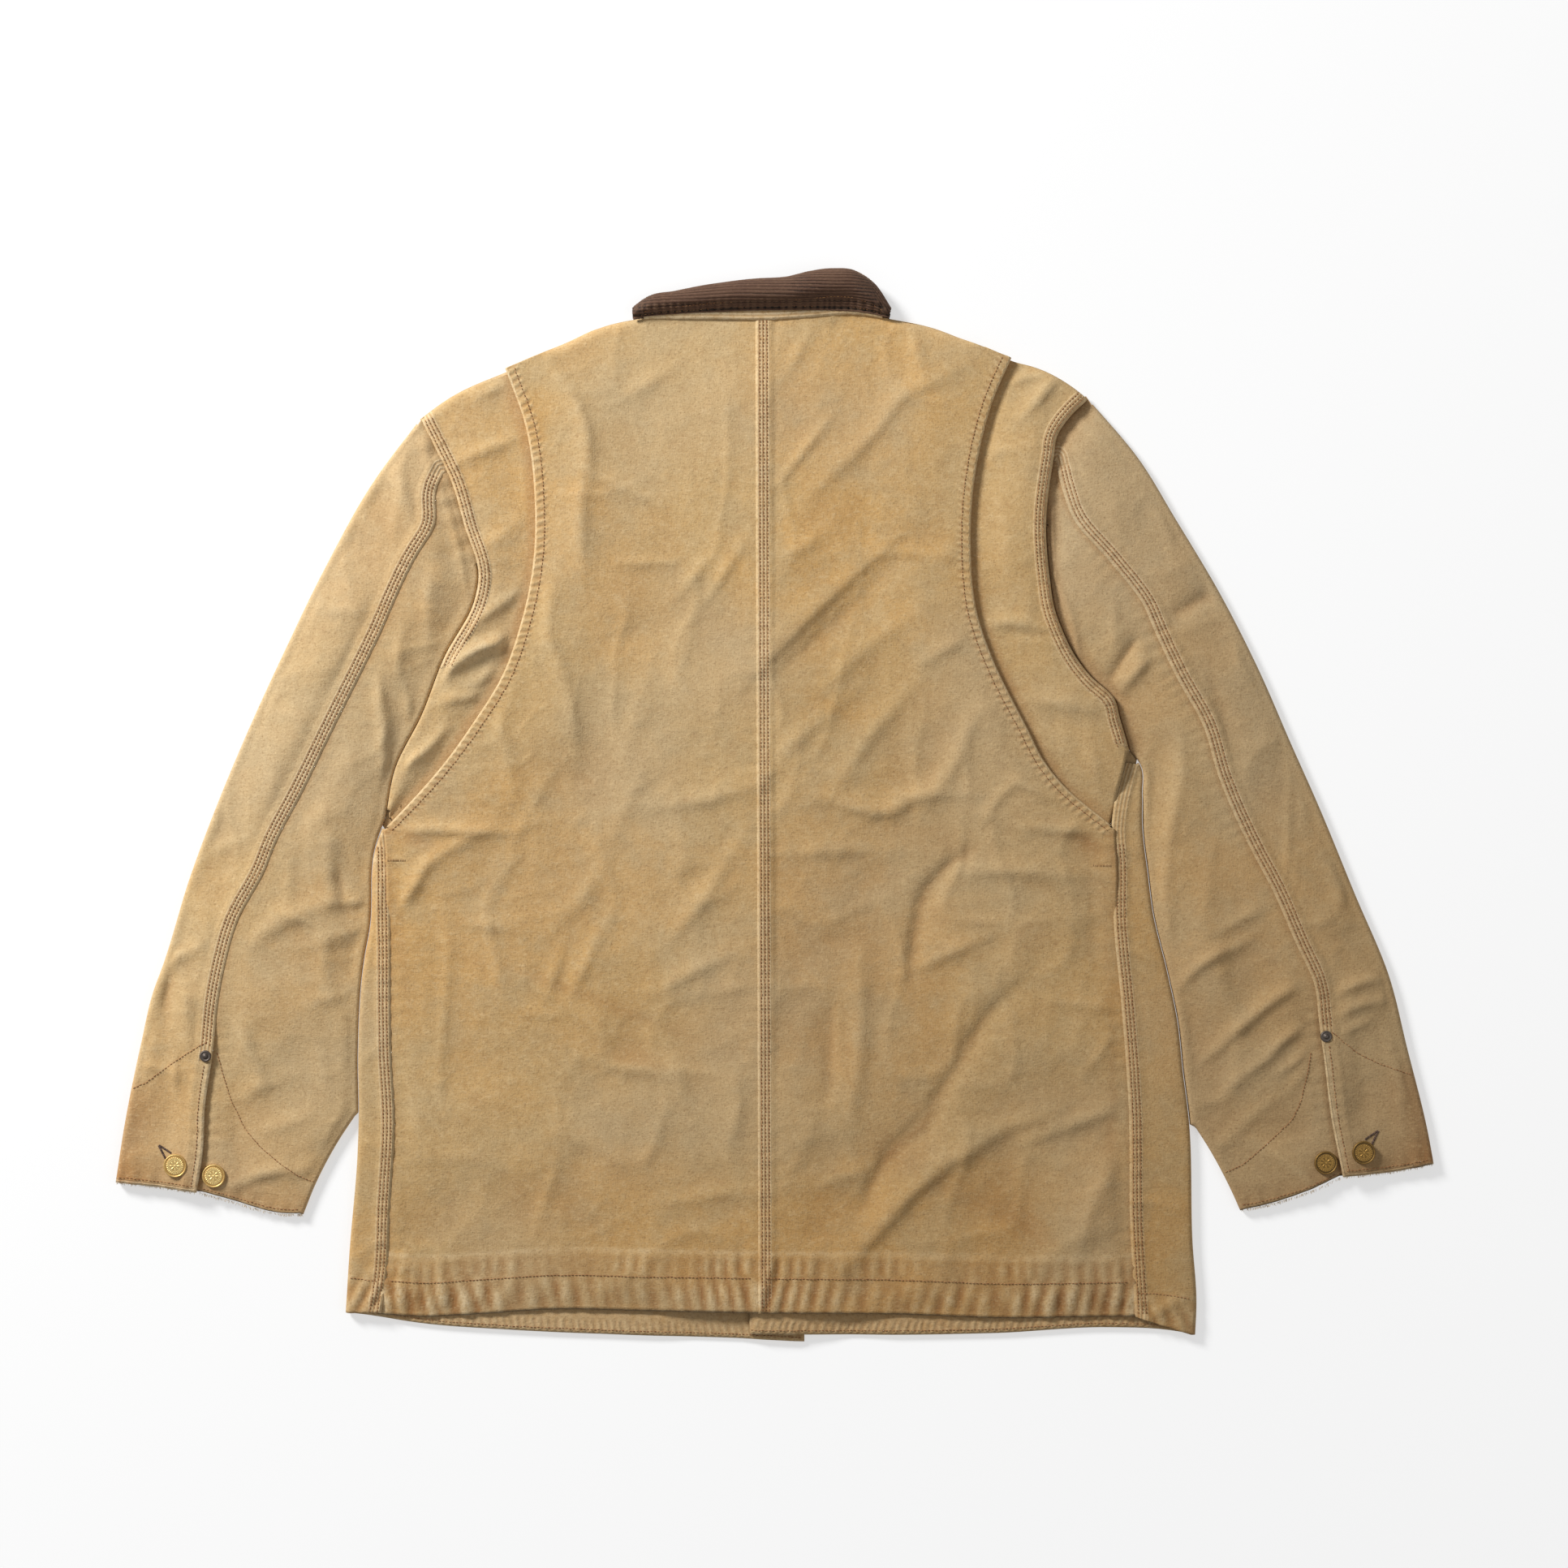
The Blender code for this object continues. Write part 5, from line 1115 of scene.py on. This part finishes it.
def collar_stand():
    x = np.linspace(COLLAR[1][0] - 2.0, COLLAR[-2][0] + 6.0, 90)
    low, middle, depth, _ = collar_sections(x)
    rows = tuple(sorted(set(BACK_TOP["left"]) | set(BACK_TOP["right"])))
    start = np.stack([x, through(rows, x) - 0.2], axis=-1)
    end = np.stack([x, middle + 0.3 * depth], axis=-1)
    share = np.linspace(0, 1, 16)[:, None, None]
    sheet = start * (1 - share) + end * share
    to_neck, on_neck = nearest(sheet, start)
    height = STAND_LEVEL + lapped(to_neck, 1.0, 4.0) + puckers(on_neck, to_neck, 9.0, 5.0, 0.22, 77)
    marks = {"away": to_neck, "along": on_neck, "wear_and_highlight": 0.4, "grime_and_shade": 0.2}
    cloth("collar_stand_strip", "collar_stand", raised(sheet, height), marks,
          ["back_panel_left", "back_panel_right"])


def collar_front(side):
    ends = (COLLAR[1][0] + 8.0, CLOSING_X - 0.3) if side == "left" else (CLOSING_X + 0.3, COLLAR[-2][0])
    x = np.linspace(*ends, 40)
    middle = collar_sections(x)[1]
    start = np.stack([x, neckline(x)], axis=-1)
    end = np.stack([x, np.maximum(middle - COLLAR_RETURN, neckline(x)) - 0.7], axis=-1)
    share = np.linspace(0, 1, 30)[:, None, None]
    points = raised(start * (1 - share) + end * share, FLOOR_LEVEL)
    cloth("corduroy_collar_front_" + side, "collar_front_" + side, points,
          {"grime_and_shade": 0.35, "wear_and_highlight": 0.2}, finish=corduroy)


corduroy = corduroy_finish()
collar_rows = []
collar()
collar_stand()
for side in ("left", "right"):
    collar_front(side)

# The metal.
# Turned brass tack buttons on the cuffs, with a plain pressed pattern of beads and petals, brighter on the
# left cuff; a dark domed rivet above each slit; and the closing's five buttons, face down on the surface.
# Profiles from the middle of the face outwards, as rows of radius and height.
BUTTON_PROFILE = (
    (0, 2.75), (6.9, 2.55), (7.25, 2.3), (7.6, 2.5), (8.15, 2.85), (8.6, 2.6), (8.9, 1.8), (8.8, 0.9),
    (8.3, 0.2), (8, -0.3),
)
RIVET_PROFILE = (
    (0, 2.3), (0.9, 2.15), (1.55, 1.7), (1.95, 1.1), (2.3, 0.8), (2.9, 0.95), (3.5, 1.25), (4, 1.1),
    (4.35, 0.6), (4.4, -0.3),
)
CLOSING_PROFILE = ((0, 0), (6.9, 0.05), (7.6, 0.15), (8.5, 0.5), (8.9, 1.1), (8.5, 1.7), (0.01, 1.8))
CLOSING_BUTTONS_Y = (250.0, 105.0, -40.0, -185.0, -330.0)


def metal_finish(name, bright, dull, roughness, metallic=0.7):
    """Worn metal: rubbed bright on what stands out, dull and brown in the hollows."""
    f = Finish(name, roughness=roughness, metallic=metallic)
    rubbed = f.noise(1.6, 3.0, offset=1.7, rough=0.6)
    grime_and_shade = f.read("grime_and_shade")
    colour = f.mix((grime_and_shade * 0.85 + rubbed * 0.35).within(0.15, 0.95), bright, dull)
    return f.use(colour, rubbed, depth=0.12, strength=0.6, roughness=roughness + grime_and_shade * 0.25)


def pressed(radius, angle):
    """Raised pattern on a button's face: a ring of beads, and eight petals round a small boss."""
    beads = bell(radius - 5.75, 0.5) * np.clip(np.cos(26 * angle), 0, 1) ** 0.7
    petals = bell(radius - 2.7, 1.05) * np.clip(np.cos(8 * angle), 0, 1) ** 0.8
    ring = bell(radius - 4.6, 0.22) * 0.6
    return 0.32 * (beads + petals + ring) + 0.3 * bell(radius, 0.7)


def turned(name, place, profile, finish, node, steps, rounds, pattern=False):
    """A turned piece of metal on the cloth at a place (x, y, z)."""
    rows = np.array(profile)
    run = np.concatenate([[0.0], np.cumsum(np.hypot(*np.diff(rows, axis=0).T))])
    at = np.linspace(0, run[-1], rounds)
    radius, level = np.interp(at, run, rows[:, 0]), np.interp(at, run, rows[:, 1])
    angle = np.linspace(0, 2 * math.pi, steps, endpoint=False)
    r, a = np.broadcast_arrays(radius[1:, None], angle[None])
    face = np.arange(1, rounds)[:, None] < rounds * 0.62
    relief = pressed(r, a) * face if pattern else np.zeros(r.shape)
    ring = np.stack([r * np.cos(a), r * np.sin(a), level[1:, None] + relief], axis=-1).reshape(-1, 3)
    points = np.concatenate([[[0.0, 0.0, level[0] + (0.3 if pattern else 0.0)]], ring])
    faces = [(0, 1 + k, 1 + (k + 1) % steps) for k in range(steps)]
    for row in range(rounds - 2):
        a0, b0 = 1 + row * steps, 1 + (row + 1) * steps
        faces += [(a0 + k, b0 + k, b0 + (k + 1) % steps, a0 + (k + 1) % steps) for k in range(steps)]
    low = (0.5 - relief / 0.45) if pattern else np.full(r.shape, 0.35)
    groove = bell(r - 7.25, 0.3) * pattern
    dark = np.concatenate([[0.0], np.clip(np.maximum(low, groove), 0, 1).ravel()])
    piece(name, points + np.array(place), faces, finish, {"grime_and_shade": dark}, node)


def surface(x, y, level):
    """Height of the cloth's upper face at a place."""
    return float(level(np.array([[x, y]]))[0]) + CLOTH / 2


metals = {
    "left": metal_finish("bright_brass", linear(255, 228, 156), linear(172, 124, 56), 0.38),
    "right": metal_finish("aged_brass", linear(180, 140, 72), linear(64, 46, 22), 0.40),
}
dark_metal = metal_finish("antique_metal", linear(112, 102, 94), linear(40, 34, 30), 0.42)
for side in ("left", "right"):
    for part, place in (("top", "outer"), ("under", "inner")):
        x, y = CUFF_BUTTONS[side][place]
        z = surface(x, y, lambda at: sleeve_level(at, side, part)[0])
        name = "cuff_button_" + side + "_" + place
        turned(name + "_brass", (x, y, z), BUTTON_PROFILE, metals[side], name, 156, 40, True)
    x, y = RIVETS[side]
    z = surface(x, y, lambda at: sleeve_level(at, side, "top")[0])
    name = "rivet_" + side
    turned(name + "_metal", (x, y, z), RIVET_PROFILE, dark_metal, name, 48, 26)
for k, y in enumerate(CLOSING_BUTTONS_Y):
    name = "closing_button_" + str(k + 1)
    turned(name + "_brass", (CLOSING_X, y, 0.0), CLOSING_PROFILE, metals["right"], name, 48, 16)

# The sewing.
# Rust-brown thread: three rows down every lapped seam, one along the pleats, hems, slits and facings, bar
# tacks at the pleats' ends, dark buttonholes, and pale ends of yarn where the cuffs have frayed.
STITCH_PITCH, STITCH_LENGTH, THREAD_RADIUS, ROW_POINTS = 2.7, 2.1, 0.31, 240
# How far these rows lie from their edges.
HEM_ROW, STRIP_HEM_ROW, FRONT_HEM_ROW, CUFF_ROW, SLIT_ROW = 26.5, 27.0, 3.1, 4.2, 4.9
# Lines along which the slits' facings are sewn, and the bar tacks.
FACING = {
    "left": {
        "top": ((-432, -179.5), (-448, -188.5), (-463.5, -199.5), (-479.5, -211), (-491, -216)),
        "under": ((-425, -187.5), (-422.5, -198.5), (-414.5, -225), (-403.5, -247.5), (-391, -261.5),
                  (-375, -274), (-362.5, -282.5), (-351, -287)),
    },
    "right": {
        "top": ((424, -172), (436.5, -182.5), (446.5, -190), (463, -197.5), (487, -205.5)),
        "under": ((409, -187.5), (406.5, -203), (401, -226.5), (394.5, -240), (381.5, -252.5),
                  (369, -263.5), (357, -274), (343, -280)),
    },
}
BAR_TACKS = {
    "left": ((-295.5, -41.5), (-281.5, -41.5)),
    "right": ((242, -45.5), (256.5, -45.5)),
}
# An eye and the far ends of its two edges.
BUTTONHOLES = {
    "left": ((-469.7, -258.5), (-459.7, -264.7), (-464.1, -269.1)),
    "right": ((460.4, -247.4), (449.8, -254.2), (454.8, -258.5)),
}


def thread_finish(name, shade, pale):
    f = Finish(name, roughness=0.8)
    ply = f.noise(0.5, 2.0, offset=6.0)
    colour = f.mix(f.read("tone").within(0.25, 1.0), shade, pale)
    return f.use(f.mix(ply * 0.4, colour, linear(96, 66, 42)), ply, depth=0.1, strength=0.7)


def stitches(ends, seed, radius=THREAD_RADIUS, lift=0.24, sink=0.2):
    """Points, faces and tones of short threads between pairs of 3-D ends, sunk in at both."""
    start, end = ends[:, 0], ends[:, 1]
    random = np.random.default_rng(seed)
    along = end - start
    along /= np.linalg.norm(along, axis=1, keepdims=True) + 1e-9
    beside = np.stack([-along[:, 1], along[:, 0], np.zeros(len(along))], axis=1)
    beside /= np.linalg.norm(beside, axis=1, keepdims=True) + 1e-9
    up = np.cross(along, beside)
    shift = beside * random.normal(0, 0.12, (len(start), 1))
    size = radius * random.uniform(0.85, 1.15, (len(start), 1))
    rings = []
    thread = ((0.0, -sink, 0.55), (0.24, lift * 0.8, 1.0), (0.76, lift * 0.8, 1.0), (1.0, -sink, 0.55))
    for t, height, width in thread:
        middle = start + (end - start) * t + up * height + shift
        for k in range(5):
            angle = 2 * math.pi * k / 5 + 0.3
            rings.append(middle + size * width * (beside * math.cos(angle) + up * math.sin(angle)))
    points = np.stack(rings, axis=1).reshape(-1, 3)
    single = [(r * 5 + k, r * 5 + (k + 1) % 5, r * 5 + 5 + (k + 1) % 5, r * 5 + 5 + k)
              for r in range(3) for k in range(5)]
    faces = (np.array(single)[None] + 20 * np.arange(len(start))[:, None, None]).reshape(-1, 4)
    return points, faces, np.repeat(random.uniform(0, 1, len(start)), 20)


def along_row(line, pitch=STITCH_PITCH, length=STITCH_LENGTH):
    """Pairs of ends of the stitches along a row of 3-D points."""
    run = lengths(line[:, :2])
    first = np.arange(0.6, run[-1] - length, pitch)
    places = [np.stack([np.interp(first + add, run, line[:, k]) for k in range(3)], axis=1)
              for add in (0.0, length)]
    return np.stack(places, axis=1)


def on_cloth(line, level, count=None, above=0.08):
    """A plan line laid just above the cloth's upper face, with close points."""
    length = np.linalg.norm(np.diff(line, axis=0), axis=1).sum()
    close = evenly(line, count or max(3, int(length / 1.1)))
    return raised(close, level(close) + CLOTH / 2 + above)


def across_row(line, pitch, length):
    """Pairs of ends of stitches that cross a row, as in a bar tack or a buttonhole."""
    ends = along_row(line, pitch, 0.1)
    middle, along = ends.mean(axis=1), ends[:, 1] - ends[:, 0]
    along /= np.linalg.norm(along, axis=1, keepdims=True)
    out = np.stack([-along[:, 1], along[:, 0], np.zeros(len(along))], axis=1) * length / 2
    return np.stack([middle - out, middle + out], axis=1)


def sew(name, ends, finish, seed, **size):
    points, faces, tone = stitches(np.concatenate(ends), seed, **size)
    piece(name, points, faces.tolist(), finish, {"tone": tone})


def rightward(line):
    return line if line[0, 0] < line[-1, 0] else line[::-1]


def offset_row(line, distance, start=0.0, end=1.0):
    """A row beside a line, from one fraction of its points to another."""
    row = moved(evenly(line, ROW_POINTS), np.broadcast_to(distance, ROW_POINTS))
    return row[int(start * (ROW_POINTS - 1)):int(end * (ROW_POINTS - 1)) + 1]


rust_thread = thread_finish("rust_thread", linear(142, 92, 54), linear(182, 136, 90))
body_rows, sleeve_rows, dark_rows, loose, tacks = [], [], [], [], []
for side in ("left", "right"):
    inward = INWARD[side]
    back_height = lambda at: back_level(at, side)[0]
    gusset_height = lambda at: gusset_level(at, side)[0]
    strip_height = lambda at: strip_level(at, side)[0]
    share = np.linspace(0, 1, ROW_POINTS)
    pleat_inset = 6.8 + 0.5 * np.sin(math.pi * share) - 1.8 * share ** 3
    pleat_row = offset_row(pleat_line(side), inward * pleat_inset, 0.005)
    body_rows.append(along_row(on_cloth(pleat_row, back_height)))
    above_hem = moved(rightward(all_across(BACK_HEM[side], 60)), HEM_ROW)
    body_rows.append(along_row(on_cloth(above_hem[1:-1], back_height, above=0.3)))
    for away in SEAM_ROWS:
        row = offset_row(armhole_line(side), inward * away, 0.012, 0.985)
        row = row[row[:, 1] > SEWN_ABOVE[side]]
        body_rows.append(along_row(on_cloth(row, gusset_height)))
    side_seam = down(SIDE_SEAM[side], PLEAT_EDGE[side][-1][0] - 14.0, SIDE_SEAM[side][-1][0] + 1.0, 120)
    for away in SEAM_ROWS:
        body_rows.append(along_row(on_cloth(offset_row(side_seam, -inward * away), strip_height)))
    hem_ends = (SIDE_SEAM[side][-1][1] - inward * 1.0, SIDE_FOLD[side][-1][1] + inward * 3.0)
    strip_hem = across(FRONT_HEM[side], min(hem_ends), max(hem_ends), 12) + np.array([0.0, STRIP_HEM_ROW])
    body_rows.append(along_row(on_cloth(strip_hem, strip_height)))
    front_row = moved(rightward(front_hem_line(side)), FRONT_HEM_ROW)
    body_rows.append(along_row(on_cloth(front_row, lambda at: front_level(at, side)[0])))
    tack = on_cloth(np.array(BAR_TACKS[side]), back_height, 12, 0.0)
    tacks.append(across_row(tack, 1.2, 1.9))

    seam = sleeve_lines(side)[0]
    top_height = lambda at: sleeve_level(at, side, "top")[0]
    under_height = lambda at: sleeve_level(at, side, "under")[0]
    above = seam[seam[:, 1] > RIVETS[side][1] + 5.5]
    beside = seam[seam[:, 1] < RIVETS[side][1] - 6.0]
    for away in SEAM_ROWS:
        sleeve_rows.append(along_row(on_cloth(offset_row(above, -inward * away, 0.015), top_height)))
    slit_row = offset_row(beside, -inward * SLIT_ROW, 0.0, 0.97)
    sleeve_rows.append(along_row(on_cloth(slit_row, top_height)))
    for part, height in (("top", top_height), ("under", under_height)):
        cuff = rightward(cuff_line(side, part))
        sleeve_rows.append(along_row(on_cloth(moved(cuff, CUFF_ROW)[1:-1], height), 2.9, 2.3))
        facing = evenly(np.array(FACING[side][part]), 30)
        sleeve_rows.append(along_row(on_cloth(facing, height), 2.6, 2.2))
        random = np.random.default_rng(5 + len(loose))
        count = 130
        place = picked(cuff, random.uniform(0.01, 0.99, count))
        lean = random.normal(0, 0.9, count)
        tip = place + np.stack([lean, -random.uniform(0.4, 1.9, count)], axis=1)
        base = place + np.array([0.0, 0.8])
        z = height(base) + random.uniform(-0.8, 0.7, count)
        loose.append(np.stack([raised(base, z), raised(tip, z - random.uniform(0.2, 1.6, count))], axis=1))
    eye, one, two = BUTTONHOLES[side]
    for end in (one, two):
        dark_rows.append(across_row(on_cloth(np.array([eye, end]), top_height, 14), 0.62, 1.7))

for away in SEAM_ROWS:
    row = np.array(CENTRE_SEAM) + np.array([away, 0.0])
    body_rows.append(along_row(on_cloth(row, lambda at: back_level(at, "right")[0])))
body_rows += [along_row(row) for row in collar_rows]
faded_thread = thread_finish("faded_thread", linear(160, 122, 78), linear(196, 162, 116))
dark_thread = thread_finish("dark_thread", linear(62, 46, 40), linear(112, 90, 78))
pale_yarn = thread_finish("pale_yarn", linear(226, 206, 176), linear(246, 234, 214))
sew("body_stitching", body_rows, rust_thread, 3)
sew("sleeve_stitching", sleeve_rows, rust_thread, 4)
sew("bar_tacks", tacks, faded_thread, 7)
sew("buttonhole_stitching", dark_rows, dark_thread, 5, radius=0.4)
sew("frayed_yarn", loose, pale_yarn, 6, radius=0.16, lift=0.05, sink=0.0)

# The room.
# A pale board under the coat, a large soft light from the upper left and a weaker fill from the right,
# and a camera straight above, as in the photo.


def board():
    f = Finish("pale_board", roughness=0.7)
    f.feed(f.shader, {"Base Color": (0.45, 0.45, 0.45, 1.0), "Specular IOR Level": 0.2,
                      "Emission Color": (1.0, 1.0, 1.0, 1.0), "Emission Strength": 0.52})
    mesh = bpy.data.meshes.new("board")
    half = 4.0
    corners = [(-half, -half, 0), (half, -half, 0), (half, half, 0), (-half, half, 0)]
    mesh.from_pydata(corners, [], [(0, 1, 2, 3)])
    mesh.materials.append(f.material)
    item = placed("board", mesh)
    item.location.z = -0.0003


def soft_light(name, place, size, power):
    light = bpy.data.lights.new(name, "AREA")
    light.shape, light.size, light.energy = "DISK", size, power
    item = placed(name, light)
    item.location = place
    aim = -item.location.normalized()
    item.rotation_euler = aim.to_track_quat("-Z", "Y").to_euler()


board()
soft_light("key", (-3.0, 2.7, 2.15), 1.2, 275.0)
soft_light("fill", (2.4, -0.6, 2.6), 2.6, 18.0)
world = bpy.data.worlds.new("studio")
world.use_nodes = True
world.node_tree.nodes["Background"].inputs["Color"].default_value = (1.0, 1.0, 1.0, 1.0)
world.node_tree.nodes["Background"].inputs["Strength"].default_value = 0.30
bpy.context.scene.world = world
bpy.context.scene.view_settings.view_transform = "Standard"
lens = bpy.data.cameras.new("camera")
lens.lens, lens.sensor_width = 85.0, 36.0
camera = placed("camera", lens)
camera.location = (0.0071, 0.0167, 2.83)
bpy.context.scene.camera = camera
